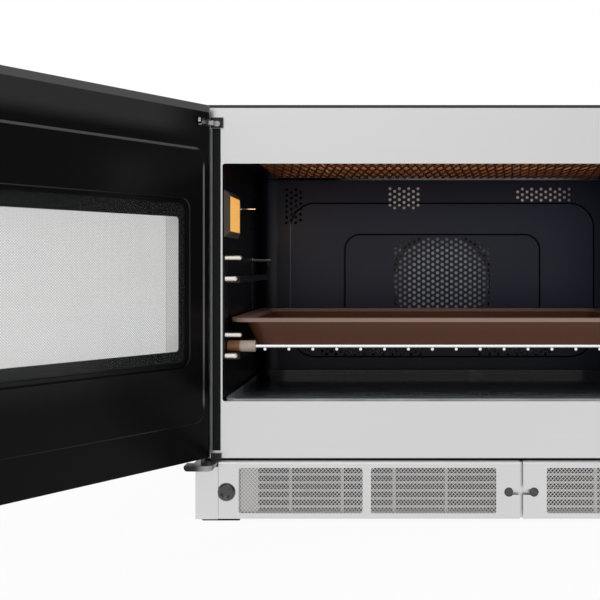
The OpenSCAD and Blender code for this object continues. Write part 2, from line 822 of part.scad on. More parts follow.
module lamp_socket() {
  color([0.65, 0.65, 0.66]) in_frame() translate([open_x0 - cav_t, 0, 0]) difference() {
    block(-socket_d, 0, lamp_y0 + lamp_bevel - 2, lamp_y0 + lamp_l - lamp_bevel + 2,
          lamp_z + lamp_edge - 2, lamp_z + lamp_h - lamp_edge + 2);
    block(-socket_d + 1, over, lamp_y0 + lamp_bevel, lamp_y0 + lamp_l - lamp_bevel,
          lamp_z + lamp_edge, lamp_z + lamp_h - lamp_edge);
  }
}

module lamp_bulb() {
  color([1, 0.9, 0.7]) in_frame() union() {
    rod_y(lamp_y0 + lamp_bevel + seat, lamp_y0 + lamp_bevel + 20, open_x0 - 10, lamp_z + lamp_h / 2, 6);
    rod_y(lamp_y0 + lamp_bevel + 20, lamp_y0 + lamp_bevel + 50, open_x0 - 10, lamp_z + lamp_h / 2, 4.5);
    translate([open_x0 - 10, lamp_y0 + lamp_bevel + 50, lamp_z + lamp_h / 2]) sphere(4.5);
  }
}

module temperature_probe() {
  color([0.75, 0.75, 0.76]) in_frame() union() {
    rod_x(open_x0, open_x0 + 20, 140, 372.3, 1.5);
    rod_x(open_x0, open_x0 + 1.2, 140, 372.3, 6);
  }
}

// A pin with a rounded end that stands out of the side wall
module wall_pin(z, reach, r) {
  rod_x(open_x0, open_x0 + reach - r, pin_y, z, r);
  translate([open_x0 + reach - r, pin_y, z]) sphere(r);
}

// One rack level: chrome pins at the front, an enamelled rail and a rear hook
module support_level(z) {
  wall_pin(z, guide_l - 5, support_r);
  wall_pin(z + guide_up, guide_l, guide_r);
  block(open_x0, open_x0 + rail_out, rail_y0, rail_y1, z + support_r - rail_h, z + support_r);
  block(open_x0, open_x0 + hook_l, hook_y, hook_y + 14, z + guide_up - hook_t, z + guide_up);
  block(open_x0 + hook_l - hook_t, open_x0 + hook_l, hook_y, hook_y + 14,
        z + hook_up, z + guide_up);
}

module supports() {
  support_level(level_z);
  support_level(level_z + level_pitch);
  // Strips that join the two levels along the wall
  for (y = [[pin_y - 4, 30], [hook_y - 6, hook_y + 20]])
    block(open_x0, open_x0 + 1.5, y[0], y[1], level_z - support_r,
          level_z + level_pitch + guide_up + guide_r);
}

module supports_left() {
  color([0.3, 0.3, 0.32]) in_frame() supports();
}

module supports_right() {
  color([0.3, 0.3, 0.32]) in_frame() mirror_cavity() supports();
}

// Microwave feed under the floor

module antenna_cover() {
  color([0.85, 0.85, 0.8]) in_frame()
    rod_z(floor_z - cav_t - cover_disc_t, floor_z - cav_t - seat, cav_x, antenna_y, cover_disc_r);
}

module antenna_vane() {
  color([0.72, 0.72, 0.74]) in_frame() union() {
    difference() {
      rod_z(well_z + 8, well_z + 9.2, cav_x, antenna_y, 80);
      for (a = [0:60:300]) translate([cav_x, antenna_y, 0]) rotate([0, 0, a])
        block(26, 66, -7, 7, well_z + 7, well_z + 10);
    }
    rod_z(guide_z - 8, well_z + 12, cav_x, antenna_y, 4);
  }
}

module antenna_motor() {
  color([0.35, 0.35, 0.36]) in_frame() difference() {
    union() {
      rod_z(frame_z + seat, guide_z - 0.3, cav_x, antenna_y, 25);
      block(cav_x - 35, cav_x + 35, antenna_y - 6, antenna_y + 6, guide_z - 2.3, guide_z - 0.3);
    }
    rod_z(guide_z - 9, guide_z, cav_x, antenna_y, 4 + run_gap);
  }
}

module waveguide() {
  color([0.66, 0.66, 0.68]) in_frame() difference() {
    union() {
      block(cav_x - guide_w / 2 - 3, bay_x + guide_d, antenna_y - guide_w / 2,
            antenna_y + guide_w / 2, guide_z, well_z + over);
      block(bay_x, bay_x + guide_d, antenna_y - guide_w / 2, antenna_y + guide_w / 2,
            guide_z, guide_top);
      // Round well that holds the ceramic cover under the floor
      rod_z(well_z, floor_z - cav_t, cav_x, antenna_y, cover_disc_r + 5);
    }
    block(cav_x - guide_w / 2 - 2, bay_x + guide_d - 1, antenna_y - guide_w / 2 + 1,
          antenna_y + guide_w / 2 - 1, guide_z + 1, well_z - 1);
    block(bay_x + 1, bay_x + guide_d - 1, antenna_y - guide_w / 2 + 1,
          antenna_y + guide_w / 2 - 1, guide_z + 1, guide_top - 1);
    rod_z(well_z + 1, floor_z - cav_t - cover_disc_t, cav_x, antenna_y, cover_disc_r - 5);
    rod_z(floor_z - cav_t - cover_disc_t - seat, floor_z, cav_x, antenna_y, cover_disc_r + seat);
    rod_z(guide_z - over, well_z + 2, cav_x, antenna_y, 14);
    rod_z(guide_top - 2, guide_top + over, bay_x + guide_d / 2, antenna_y, 12);
  }
}

module magnetron() {
  color([0.55, 0.56, 0.58]) in_frame() union() {
    // Antenna dome, base, finned anode in its yoke and filter box
    rod_z(guide_top - 21, guide_top + 1, bay_x + guide_d / 2, antenna_y, 8);
    block(bay_x + 2, bay_x + 88, antenna_y - 46, antenna_y + 46, guide_top + seat, guide_top + 5);
    for (i = [0:6]) block(bay_x + 10, bay_x + 80, antenna_y - 44, antenna_y + 44,
                          guide_top + 11 + 8 * i, guide_top + 12.5 + 8 * i);
    rod_z(guide_top + 1, guide_top + 70, bay_x + 45, antenna_y, 20);
    for (y = [-46, 43])
      block(bay_x + 8, bay_x + 82, antenna_y + y, antenna_y + y + 3, guide_top + 4, guide_top + 70);
    block(bay_x + 8, bay_x + 82, antenna_y - 46, antenna_y + 46, guide_top + 67, guide_top + 70);
    block(bay_x + 20, bay_x + 70, antenna_y - 25, antenna_y + 25, guide_top + 69, guide_top + 93);
  }
}

module transformer() {
  color([0.5, 0.42, 0.3]) in_frame() union() {
    block(core_x, core_x + 90, 48, 123, frame_z + 0.1, frame_z + 22);
    block(core_x, core_x + 90, 48, 123, frame_z + 56, frame_z + 76);
    for (x = [0, 38, 72]) block(core_x + x, core_x + x + 18, 48, 123, frame_z + 20, frame_z + 58);
    block(core_x + 22, core_x + 68, 38, 133, frame_z + 24, frame_z + 54);
  }
}

module capacitor() {
  color([0.72, 0.73, 0.75]) in_frame() union() {
    upright_rect(can_x, can_x + 52, 160, 240, frame_z + 0.1, frame_z + 34, 15);
    for (x = [14, 38]) block(can_x + x - 3, can_x + x + 3, 152, 161, frame_z + 15, frame_z + 16);
  }
}

module control_board() {
  color([0.1, 0.35, 0.2]) in_frame() union() {
    block(bezel_x0 + 14, case_x - 12, -8, -6.4, board_z0, board_z1);
    block(bezel_x0 + 30, bezel_x0 + 58, -6.5, 14, frame_z + 220, frame_z + 250);
    block(bezel_x0 + 30, bezel_x0 + 62, -6.5, 18, frame_z + 140, frame_z + 180);
    for (z = [200, 270, 300]) block(bezel_x0 + 80, bezel_x0 + 104, -6.5, 4, frame_z + z, frame_z + z + 14);
  }
}

module control_bezel() {
  color([0.8, 0.8, 0.8]) in_frame() difference() {
    upright_rect(bezel_x0, bezel_x1, door_out, 0, door_z0, door_z1, 4);
    upright_rect(bezel_x0 + 2, bezel_x1 - 2, door_out + 6, over, door_z0 + 2, door_z1 - 2, 3);
    upright_rect(bezel_x0 + 8, bezel_x1 - 8, door_out - over, door_out + 3.2,
                 door_z0 + 12, door_z1 - 12, 3);
    upright_rect(bezel_x0 + 20, bezel_x1 - 20, door_out - over, door_out + 7,
                 door_z1 - 90, door_z1 - 40, 2);
  }
  // Posts that carry the board
  color([0.8, 0.8, 0.8]) in_frame()
    for (x = [bezel_x0 + 22, case_x - 20], z = [board_z0 + 13, board_z1 - 48])
      rod_y(door_out + 5, -8, x, z, 4);
}

module control_glass() {
  color([0.06, 0.06, 0.07]) in_frame()
    upright_rect(bezel_x0 + 8 + seat, bezel_x1 - 8 - seat, door_out, door_out + 3,
                 door_z0 + 12 + seat, door_z1 - 12 - seat, 3);
}

module interlock_block() {
  color([0.85, 0.85, 0.82]) in_frame() difference() {
    block(latch_x - 12, latch_x + 14, frame_t, 44, latch_z[0] - 26, latch_z[1] + 30);
    for (z = latch_z)
      block(latch_x - 4, latch_x + 4, 0, hook_reach + 8, z - 10, z + 14);
    block(latch_x - 5, latch_x + 15, frame_t + 6, 45, latch_z[0] + 26, latch_z[1] - 26);
  }
}

// Hood
module scroll_outline(grow) {
  union() {
    circle(scroll_r + grow);
    translate([-scroll_r - grow, 0])
      square([outlet_l + 2 * grow, duct_z - scroll_z - (grow > 0 ? 0 : -over)]);
  }
}

module blower_housing() {
  color([0.6, 0.6, 0.62]) in_frame() translate([wheel_x, scroll_y, scroll_z]) rotate([90, 0, 90])
    difference() {
      translate([0, 0, -wheel_half - scroll_t - 4])
        linear_extrude(2 * (wheel_half + scroll_t + 4)) scroll_outline(scroll_t);
      translate([0, 0, -wheel_half - 4]) linear_extrude(2 * (wheel_half + 4)) scroll_outline(0);
      translate([0, 0, -wheel_half - 10]) cylinder(h = 10, r = blower_d / 2 - 12);
      translate([0, 0, wheel_half]) cylinder(h = 10, r = 12);
    }
}

module blower_wheel() {
  color([0.25, 0.25, 0.26]) in_frame() translate([wheel_x, scroll_y, scroll_z]) rotate([0, 90, 0]) {
    translate([0, 0, wheel_half - 3]) cylinder(h = 1.5, r = blower_d / 2);
    for (z = [-wheel_half, wheel_half - 3]) translate([0, 0, z]) difference() {
      cylinder(h = 2, r = blower_d / 2);
      translate([0, 0, -over]) cylinder(h = 4, r = blower_d / 2 - 10);
    }
    for (i = [0:blower_vanes - 1]) rotate([0, 0, 360 / blower_vanes * i])
      translate([blower_d / 2 - 9, 0, -wheel_half]) rotate([0, 0, 35])
        cube([8, 1, 2 * wheel_half - 2]);
    translate([0, 0, wheel_half - 12]) cylinder(h = 12, r = 10);
    translate([0, 0, wheel_half - 8]) cylinder(h = 26, r = 4);
  }
}

module blower_motor() {
  color([0.35, 0.35, 0.36]) in_frame() translate([wheel_x + wheel_half + scroll_t + 4, scroll_y, scroll_z])
    rotate([0, 90, 0]) difference() {
      union() {
        cylinder(h = case_x - sheet_t - wheel_x - wheel_half - scroll_t - 4 - seat, r = 30);
        translate([-40, -10, 0]) cube([80, 20, 3]);
      }
      translate([0, 0, -over]) cylinder(h = 17, r = 4 + run_gap);
    }
}

module exhaust_duct() {
  color([0.62, 0.62, 0.64]) in_frame() difference() {
    union() {
      block(-duct_w / 2 - 1, wheel_x + wheel_half + 6, collar_y - 1, collar_y + duct_d + 1,
            duct_z, unit_h - sheet_t);
      block(-duct_w / 2, duct_w / 2, collar_y, collar_y + duct_d, duct_z, unit_h + duct_h);
      // Wider end that takes the whole blower outlet
      block(wheel_x - wheel_half - 6, wheel_x + wheel_half + 6, outlet_y0 - 2, collar_y + duct_d + 1,
            duct_z, unit_h - sheet_t);
    }
    block(-duct_w / 2 + 1, duct_w / 2 - 1, collar_y + 1, collar_y + duct_d - 1,
          duct_z + 1, unit_h + duct_h + over);
    block(-duct_w / 2, wheel_x + wheel_half + 5, collar_y, collar_y + duct_d,
          duct_z + 1, unit_h - 2 * sheet_t);
    block(wheel_x - wheel_half - 5, wheel_x + wheel_half + 5, outlet_y0 - 1, collar_y + duct_d,
          duct_z + 1, unit_h - 2 * sheet_t);
    block(wheel_x - wheel_half - 4, wheel_x + wheel_half + 4, outlet_y0, outlet_y0 + outlet_l,
          duct_z - over, duct_z + 2);
  }
}

module damper_flap() {
  color([0.55, 0.55, 0.56]) in_frame() union() {
    block(-duct_w / 2 + 1 + clear, duct_w / 2 - 1 - clear, collar_y + 1 + clear,
          collar_y + duct_d - 1 - clear, unit_h + 3, unit_h + 3 + flap_t);
    rod_x(-duct_w / 2 + 1 + seat, duct_w / 2 - 1 - seat, collar_y + duct_d - 4, unit_h + 4, 2);
  }
}

// Vent strip under the door
module strip_side(y_face, z_top, y_back, r) {
  // Side profile of the strip with a rounded top edge, drawn in y and z
  union() {
    translate([y_face, strip_z0]) square([y_back - y_face, z_top - strip_z0 - r]);
    translate([y_face + r, strip_z0]) square([y_back - y_face - r, z_top - strip_z0]);
    translate([y_face + r, z_top - r]) circle(r);
  }
}

module along_x(x0, x1) {
  translate([x0, 0, 0]) rotate([90, 0, 90]) linear_extrude(x1 - x0) children();
}

module vent_strip() {
  color([0.8, 0.8, 0.8]) in_frame() difference() {
    union() {
      both_sides() along_x(-unit_x, -panel_end) strip_side(-strip_out, strip_z1, strip_back, strip_r);
      // Rails behind the two removable panels
      block(-panel_end, panel_end, 1, strip_back, strip_z0, window_z0);
      block(-panel_end, panel_end, 1, strip_back, window_z0 + window_h, strip_z1 - 2);
      // Bright post behind the seam, with the studs that locate the panels
      block(-24, 24, 1, 4, strip_z0, strip_z1 - 2);
    }
    // Room for the lower hinge arm
    block(-unit_x - over, -unit_x + 29, -strip_out - over, 9, lower_z - clear, strip_z1 + over);
  }
}

module slotted_plates() {
  color([0.35, 0.34, 0.33]) in_frame() both_sides() upright(0, 0.9) difference() {
    translate([-panel_end + 1, window_z0 - 2]) square([panel_end - 26, window_h + 4]);
    for (j = [0:slot_rows - 1]) {
      z = slot_mid + slot_pitch * (j - (slot_rows - 1) / 2) - slot_h / 2;
      translate([first_slot_x, z]) square([first_slot_w, slot_h]);
      for (i = [0:3]) translate([slot_x0 + slot_step * i, z]) square([slot_w, slot_h]);
    }
  }
}

// Round catches at the ends and locating studs at the seam
module fixing_knobs() {
  color([0.05, 0.05, 0.05]) in_frame() both_sides() {
    rod_y(-strip_out, 1 - seat, -stud_x, knob_z, stud_r);
    rod_y(-strip_out - 3, 0, -knob_x, knob_z, knob_r - 2);
    translate([-knob_x, -strip_out - 1, knob_z]) rotate([90, 0, 0])
      cylinder(h = 3, r1 = knob_r, r2 = knob_r - 2.5);
  }
}

module panel_outline() {
  difference() {
    translate([-panel_end + 0.3, strip_z0 + 0.5])
      square([panel_end - 0.3 - panel_gap, strip_z1 - strip_z0 - 0.5]);
    for (w = [window_a, window_b]) translate([w[0], window_z0])
      rounded_rect(w[1] - w[0], window_h, 2.5);
    // Keyhole notch that clears the locating stud
    translate([-stud_x, knob_z]) circle(stud_r + 0.4);
    translate([-stud_x, knob_z - key_h / 2]) square([stud_x, key_h]);
    translate([-knob_x, knob_z]) circle(knob_r + 0.4);
  }
}

module filter_panel() {
  difference() {
    along_x(-panel_end + 0.3, -panel_gap) difference() {
      strip_side(-strip_out, strip_z1, 0.8, strip_r);
      translate([-strip_out + panel_t, strip_z0 - over])
        square([10, strip_z1 - strip_z0 - panel_t + over]);
    }
    upright(-strip_out - over, -strip_out + panel_t + 0.1) difference() {
      translate([-unit_x, strip_z0 - 5]) square([unit_x + 5, 80]);
      panel_outline();
      translate([-unit_x, strip_z1 - strip_r]) square([unit_x + 5, 20]);
    }
  }
}

module filter_left() {
  color([0.8, 0.8, 0.8]) in_frame() filter_panel();
}

module filter_right() {
  color([0.8, 0.8, 0.8]) in_frame() mirror([1, 0, 0]) filter_panel();
}

// Door, drawn closed and then turned open
module door_skin() {
  color([0.8, 0.8, 0.8]) in_frame() door_turn() difference() {
    upright_rect(door_x0, door_x1, door_out, door_out + skin_deep, door_z0, door_z1, 6);
    upright_rect(door_x0 + skin_t, door_x1 - skin_t, door_out + skin_t, door_out + skin_deep + over,
                 door_z0 + skin_t, door_z1 - skin_t, 5);
    upright_rect(screen_x - 12, screen_x + screen_w + 12, door_out - over, door_out + 2 * skin_t,
                 screen_z - 14, screen_z + screen_h + 26, 10);
  }
}

module door_glass() {
  color([0.1, 0.1, 0.11, 0.5]) in_frame() door_turn()
    upright_rect(screen_x - 24, screen_x + screen_w + 24, door_out + skin_t + 0.1,
                 door_out + skin_t + glass_t, screen_z - 26, screen_z + screen_h + 38, 8);
}

module hinge_cuts() {
  // Round pocket for the upper arm, and a shallow notch in front of its plate
  rod_z(arm_z - arm_r - 1, arm_z + arm_r + 1, pin_x, hinge_y, pocket_r);
  block(pin_x, plate_x + plate_w, -8, 0, arm_z - arm_r - 1, arm_z + arm_r + 1);
  rod_z(upper_z, upper_z + 22, pin_x, hinge_y, pin_r + run_gap);
  rod_z(door_z0 - over, door_z0 + leaf_h + 1, pin_x, hinge_y, pin_r + run_gap);
}

module door_frame() {
  color([0.05, 0.05, 0.05]) in_frame() door_turn() difference() {
    union() {
      // Tub inside the skin, and the full-size inner face
      upright_rect(door_x0 + skin_t + seat, door_x1 - skin_t - seat, door_out + skin_t + glass_t + seat,
                   door_out + skin_deep + 0.3, door_z0 + skin_t + seat, door_z1 - skin_t - seat, 5);
      upright_rect(door_x0, door_x1, door_out + skin_deep + 0.2, door_in, door_z0 + 1.4, door_z1 - 0.8, 6);
      // Raised rim that meets the front frame
      upright_rect(door_x0 + rim_x, door_x1 - 9.5, door_in - 1, door_in + rim_up, rim_z, rim_top, 16);
    }
    // Round the inner corner by the hinge so that it clears the frame
    translate([0, 0, door_z0 - over]) linear_extrude(door_h + 2 * over) difference() {
      translate([door_x0 - 1, door_in - 6]) square([7, 7]);
      translate([door_x0 + 6, door_in - 6]) circle(6);
    }
    // Window, its recess for the inner glass and the rebate for the screen
    upright_rect(screen_x, screen_x + screen_w, door_out, door_in + 5, screen_z, screen_z + screen_h, 4);
    upright_rect(screen_x - recess_edge, screen_x + screen_w + recess_edge, door_in - recess_deep,
                 door_in + 5, screen_z - recess_low, screen_z + screen_h + recess_high, 8);
    upright_rect(screen_x - recess_edge - ledge, screen_x + screen_w + recess_edge + ledge,
                 door_in - ledge_deep, door_in + 5, screen_z - recess_low - ledge,
                 screen_z + screen_h + recess_high + ledge, 12);
    upright_rect(screen_x - screen_lap, screen_x + screen_w + screen_lap, door_out, screen_y,
                 screen_z - screen_lap, screen_z + screen_h + screen_lap, 4);
    hinge_cuts();
    // Room for the latch bar and its hooks
    block(latch_x - latch_w / 2 - clear, latch_x + latch_w / 2 + clear, door_in - 22, door_in - 10,
          latch_z[0] - 14, latch_z[1] + 20);
    for (z = latch_z)
      block(latch_x - latch_w / 2 - clear, latch_x + latch_w / 2 + clear, door_in - 12, door_in + over,
            z - hook_h / 2 - clear, z + hook_h / 2 + latch_travel + clear);
  }
}

module door_screen() {
  color([0.75, 0.76, 0.76]) in_frame() door_turn()
    upright_rect(screen_x - screen_lap + seat, screen_x + screen_w + screen_lap - seat,
                 screen_y - screen_t, screen_y, screen_z - screen_lap + seat,
                 screen_z + screen_h + screen_lap - seat, 4);
}

module inner_glass() {
  color([0.1, 0.1, 0.1, 0.4]) in_frame() door_turn()
    upright_rect(screen_x - recess_edge + seat, screen_x + screen_w + recess_edge - seat,
                 door_in - recess_deep, door_in - recess_deep + inner_glass_t,
                 screen_z - recess_low + seat, screen_z + screen_h + recess_high - seat, 8);
}

module door_handle() {
  color([0.78, 0.78, 0.79]) in_frame() door_turn() union() {
    rod_z(handle_z - handle_l / 2, handle_z + handle_l / 2, handle_x, door_out - handle_out, handle_r);
    for (z = [handle_z - handle_l / 2 + 25, handle_z + handle_l / 2 - 25])
      rod_y(door_out - handle_out, door_out, handle_x, z, post_r);
  }
}

module latch_hooks() {
  color([0.9, 0.9, 0.88]) in_frame() door_turn() union() {
    block(latch_x - latch_w / 2, latch_x + latch_w / 2, door_in - 21, door_in - 12,
          latch_z[0] - hook_h / 2 - 5, latch_z[1] + hook_h / 2 + 5);
    for (z = latch_z) translate([latch_x - latch_w / 2, 0, z - hook_h / 2])
      rotate([90, 0, 90]) linear_extrude(latch_w)
        polygon([[door_in - 14, 0], [hook_reach - 6, 0], [hook_reach, 6], [hook_reach - 8, hook_h],
                 [hook_reach - 10, hook_h], [hook_reach - 10, hook_h - 4], [door_in - 14, hook_h - 4]]);
  }
}

// Loose pieces inside the cavity
module rack() {
  color([0.85, 0.85, 0.86]) in_frame() translate([cav_x, 0, 0]) union() {
    for (y = [rack_y0, rack_y1]) rod_x(-bar_half, bar_half, y, rack_z, rack_r);
    for (x = [-side_x, side_x]) rod_y(rack_y0, rack_y1, x, rack_z, rack_r);
    for (i = [0:wire_count - 1])
      rod_y(rack_y0 - 2, rack_y1 + 2, wire_pitch * (i - (wire_count - 1) / 2), wire_z, wire_r);
  }
}

module rack_sleeves() {
  color([0.5, 0.27, 0.13]) in_frame() translate([cav_x, 0, 0])
    for (y = [rack_y0, rack_y1], m = [0, 1]) mirror([m, 0, 0]) difference() {
      rod_x(-open_w / 2 + cap_gap, -open_w / 2 + cap_gap + cap_l, y, rack_z, cap_r);
      rod_x(-bar_half - 0.3, 0, y, rack_z, rack_r + 0.05);
      // Slot for the rack's side bar
      translate([-side_x - rack_r - 0.05, y == rack_y0 ? y : y - cap_r - over, rack_z - rack_r - 0.05])
        cube([2 * rack_r + 0.1, cap_r + over, 2 * rack_r + 0.1]);
    }
}

module pan_shell(w, l, h, inset, r) {
  // Tapered tray body between a wide top and a narrower bottom
  hull() {
    translate([inset, inset, 0]) linear_extrude(0.5) rounded_rect(w - 2 * inset, l - 2 * inset, r - 4);
    translate([0, 0, h - 0.5]) linear_extrude(0.5) rounded_rect(w, l, r);
  }
}

module baking_pan() {
  body_w = pan_w - 2 * pan_lip;
  body_l = pan_l - 2 * pan_lip;
  color([0.34, 0.2, 0.16]) in_frame() translate([pan_x - pan_w / 2, pan_y0, pan_z]) difference() {
    union() {
      translate([pan_lip, pan_lip, 0]) pan_shell(body_w, body_l, pan_h - 1, pan_taper, 20, $fn = 32);
      translate([0, 0, pan_h - pan_t]) linear_extrude(pan_t) rounded_rect(pan_w, pan_l, 24);
      translate([0, 0, pan_h - pan_roll]) linear_extrude(pan_roll - 0.1) difference() {
        rounded_rect(pan_w, pan_l, 24);
        translate([pan_t, pan_t]) rounded_rect(pan_w - 2 * pan_t, pan_l - 2 * pan_t, 24 - pan_t);
      }
    }
    translate([pan_lip + pan_t, pan_lip + pan_t, pan_t])
      pan_shell(body_w - 2 * pan_t, body_l - 2 * pan_t, pan_h, pan_taper, 19, $fn = 32);
  }
}

module floor_tray() {
  tray_x = open_x0 + tray_side;
  tray_w = open_w - 2 * tray_side;
  tray_l = tray_y1 - tray_y0;
  color([0.1, 0.12, 0.13]) in_frame() translate([tray_x, tray_y0, floor_z + 0.3]) difference() {
    linear_extrude(tray_h) rounded_rect(tray_w, tray_l, tray_r);
    translate([tray_t, tray_t, tray_t]) linear_extrude(tray_h)
      rounded_rect(tray_w - 2 * tray_t, tray_l - 2 * tray_t, tray_r - tray_t);
  }
}

outer_case();
front_frame();
rear_panel();
base_housing();
feet();
stile_pad();
hinge_plates();
hinge_arms();
cavity_left();
cavity_right();
cavity_back();
cavity_ceiling();
cavity_floor();
fan_cover();
ceiling_grille();
grill_element();
grill_reflector();
fan_chamber();
fan_motor();
ring_heater();
lamp_frame();
lamp_lens();
lamp_socket();
lamp_bulb();
temperature_probe();
supports_left();
supports_right();
antenna_cover();
antenna_motor();
waveguide();
magnetron();
transformer();
capacitor();
control_board();
control_bezel();
control_glass();
interlock_block();
blower_housing();
blower_motor();
exhaust_duct();
vent_strip();
slotted_plates();
fixing_knobs();
door_skin();
door_glass();
door_frame();
door_screen();
inner_glass();
door_handle();
latch_hooks();
rack();
rack_sleeves();
baking_pan();
floor_tray();
fan_wheel();
antenna_vane();
blower_wheel();
damper_flap();
filter_left();
filter_right();
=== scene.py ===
import math

import bmesh
import bpy
from mathutils import Matrix, Vector


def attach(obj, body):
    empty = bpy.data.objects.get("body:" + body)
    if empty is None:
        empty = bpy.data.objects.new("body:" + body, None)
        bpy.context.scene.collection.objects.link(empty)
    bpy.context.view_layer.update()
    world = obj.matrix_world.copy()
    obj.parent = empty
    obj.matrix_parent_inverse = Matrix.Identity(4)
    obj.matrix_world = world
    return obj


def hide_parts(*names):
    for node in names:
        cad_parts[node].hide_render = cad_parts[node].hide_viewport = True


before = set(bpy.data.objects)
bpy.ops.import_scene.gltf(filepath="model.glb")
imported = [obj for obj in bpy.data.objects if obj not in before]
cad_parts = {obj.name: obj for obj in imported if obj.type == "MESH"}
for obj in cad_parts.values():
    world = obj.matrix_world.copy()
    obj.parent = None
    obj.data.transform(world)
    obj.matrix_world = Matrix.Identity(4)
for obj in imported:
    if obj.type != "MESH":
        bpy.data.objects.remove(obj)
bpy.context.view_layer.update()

# Camera. The oven is drawn in millimetres from its front frame: x to the right
# of the centreline, y back from the frame's face, z up from under the feet.
# The camera stands square to the front, off to the left, with its view shifted.
CASE_DEPTH, UNIT_HEIGHT = 405.0, 486.0


def place(x, y, z):
    """A point of the oven's front drawing, in metres in the row frame."""
    return Vector((x, y - CASE_DEPTH, z - UNIT_HEIGHT / 2)) / 1000


camera = bpy.data.objects.new("camera", bpy.data.cameras.new("camera"))
camera.location = place(-153, -1172, 296.5)
camera.rotation_euler = (math.pi / 2, 0, 0)
camera.data.lens = 60.12
camera.data.shift_x, camera.data.shift_y = -0.15, -0.055
camera.data.clip_end = 50
bpy.context.scene.collection.objects.link(camera)
bpy.context.scene.camera = camera
bpy.context.scene.view_settings.view_transform = "Standard"


# Studio. A white world, darker to the right and overhead for what mirrors it, a
# wide softbox over the camera, a narrow one at the left, and a pale floor with a
# faint shadow.
class Value:
    """One socket of a finish. Sums written on it add Math nodes."""

    def __init__(self, finish, socket):
        self.finish, self.socket = finish, socket

    def math(self, operation, *others):
        inputs = {0: self, **{i + 1: other for i, other in enumerate(others)}}
        return self.finish.add("ShaderNodeMath", {"operation": operation}, inputs)

    def __add__(self, other):
        return self.math("ADD", other)

    def __mul__(self, other):
        return self.math("MULTIPLY", other)

    def __sub__(self, other):
        return self.math("SUBTRACT", other)

    def __rsub__(self, other):
        return (self * -1) + other

    def fade(self, low, high, first=0.0, last=1.0):
        """Runs smoothly from first to last as this value goes from low to high."""
        sockets = {"Value": self, "From Min": low, "From Max": high, "To Min": first, "To Max": last}
        return self.finish.add("ShaderNodeMapRange", {"interpolation_type": "SMOOTHSTEP"}, sockets)

    def near(self, at, half, edge):
        """1 within half of at, and 0 from edge on."""
        return (self - at).math("ABSOLUTE").fade(half, edge, 1.0, 0.0)

    __radd__, __rmul__ = __add__, __mul__


class Nodes:
    """The nodes of one material or world."""

    def __init__(self, tree):
        self.tree = tree

    def add(self, kind, settings=None, inputs=None, output=0):
        node = self.tree.nodes.new(kind)
        for name, setting in (settings or {}).items():
            setattr(node, name, setting)
        for name, value in (inputs or {}).items():
            self.link(node.inputs[name], value)
        return Value(self, node.outputs[output])

    def link(self, socket, value):
        if isinstance(value, Value):
            self.tree.links.new(value.socket, socket)
        else:
            socket.default_value = value


class Finish(Nodes):
    """A surface finish: one principled shader and the nodes that vary it."""

    def __init__(self, name, color, rough=0.5, metal=0.0, **sockets):
        self.material = bpy.data.materials.new(name)
        self.material.use_nodes = True
        super().__init__(self.material.node_tree)
        self.shader = self.tree.nodes["Principled BSDF"]
        self.output = self.tree.nodes["Material Output"]
        self.feed("Base Color", (*color, 1))
        self.feed("Roughness", rough)
        self.feed("Metallic", metal)
        for socket, value in sockets.items():
            self.feed(socket.replace("_", " "), value)

    def feed(self, socket, value):
        self.link(self.shader.inputs[socket], value)

    def coords(self, scale=(1, 1, 1)):
        where = self.add("ShaderNodeTexCoord", output="Object")
        return self.add("ShaderNodeMapping", inputs={"Vector": where, "Scale": scale})

    def noise(self, scale, detail=3, stretch=(1, 1, 1)):
        where = self.coords(stretch)
        return self.add("ShaderNodeTexNoise", inputs={"Vector": where, "Scale": scale, "Detail": detail})

    def roughen(self, scale, spread, low, detail=2):
        """Noise that takes the roughness from low to low + spread."""
        grain = self.noise(scale, detail)
        self.feed("Roughness", grain * spread + low)
        return grain

    def axis(self, letter):
        where = self.add("ShaderNodeTexCoord", output="Object")
        return self.add("ShaderNodeSeparateXYZ", inputs={0: where}, output=letter)

    def blend(self, amount, first, second):
        """Mixes two colours. The node's sockets share their names, so they go by number."""
        color_a, color_b, color_result = 6, 7, 2
        mixer = self.add("ShaderNodeMix", {"data_type": "RGBA"}, {"Factor": amount}, color_result)
        node = mixer.socket.node
        self.link(node.inputs[color_a], first)
        self.link(node.inputs[color_b], second)
        return mixer

    def bump(self, height, depth, strength=1.0):
        sockets = {"Height": height, "Distance": depth, "Strength": strength}
        self.feed("Normal", self.add("ShaderNodeBump", inputs=sockets))


world = bpy.data.worlds.new("studio")
bpy.context.scene.world = world
world.use_nodes = True
sky = Nodes(world.node_tree)
way = sky.add("ShaderNodeTexCoord", output="Generated")
rightward = sky.add("ShaderNodeSeparateXYZ", inputs={0: way}, output="X")
upward = sky.add("ShaderNodeSeparateXYZ", inputs={0: way}, output="Z")
lighting = sky.add("ShaderNodeBackground", inputs={"Color": (1, 1, 1, 1), "Strength": 0.82})
mirrored = sky.add("ShaderNodeBackground", inputs={
    "Color": rightward.fade(0.4, 0.8, 1.0, 0.07) * rightward.fade(-0.2, 0.5, 1.0, 0.84)
    * upward.fade(0.3, 0.9, 1.0, 0.5)})
white = sky.add("ShaderNodeBackground", inputs={"Color": (1, 1, 1, 1), "Strength": 1.0})
glossy = sky.add("ShaderNodeLightPath", output="Is Glossy Ray")
camera_ray = sky.add("ShaderNodeLightPath", output="Is Camera Ray")
through = sky.add("ShaderNodeLightPath", output="Is Transmission Ray")
shown = sky.add("ShaderNodeMixShader", inputs={0: glossy, 1: lighting, 2: mirrored})
shown = sky.add("ShaderNodeMixShader", inputs={0: camera_ray + through, 1: shown, 2: white})
sky.link(world.node_tree.nodes["World Output"].inputs["Surface"], shown)


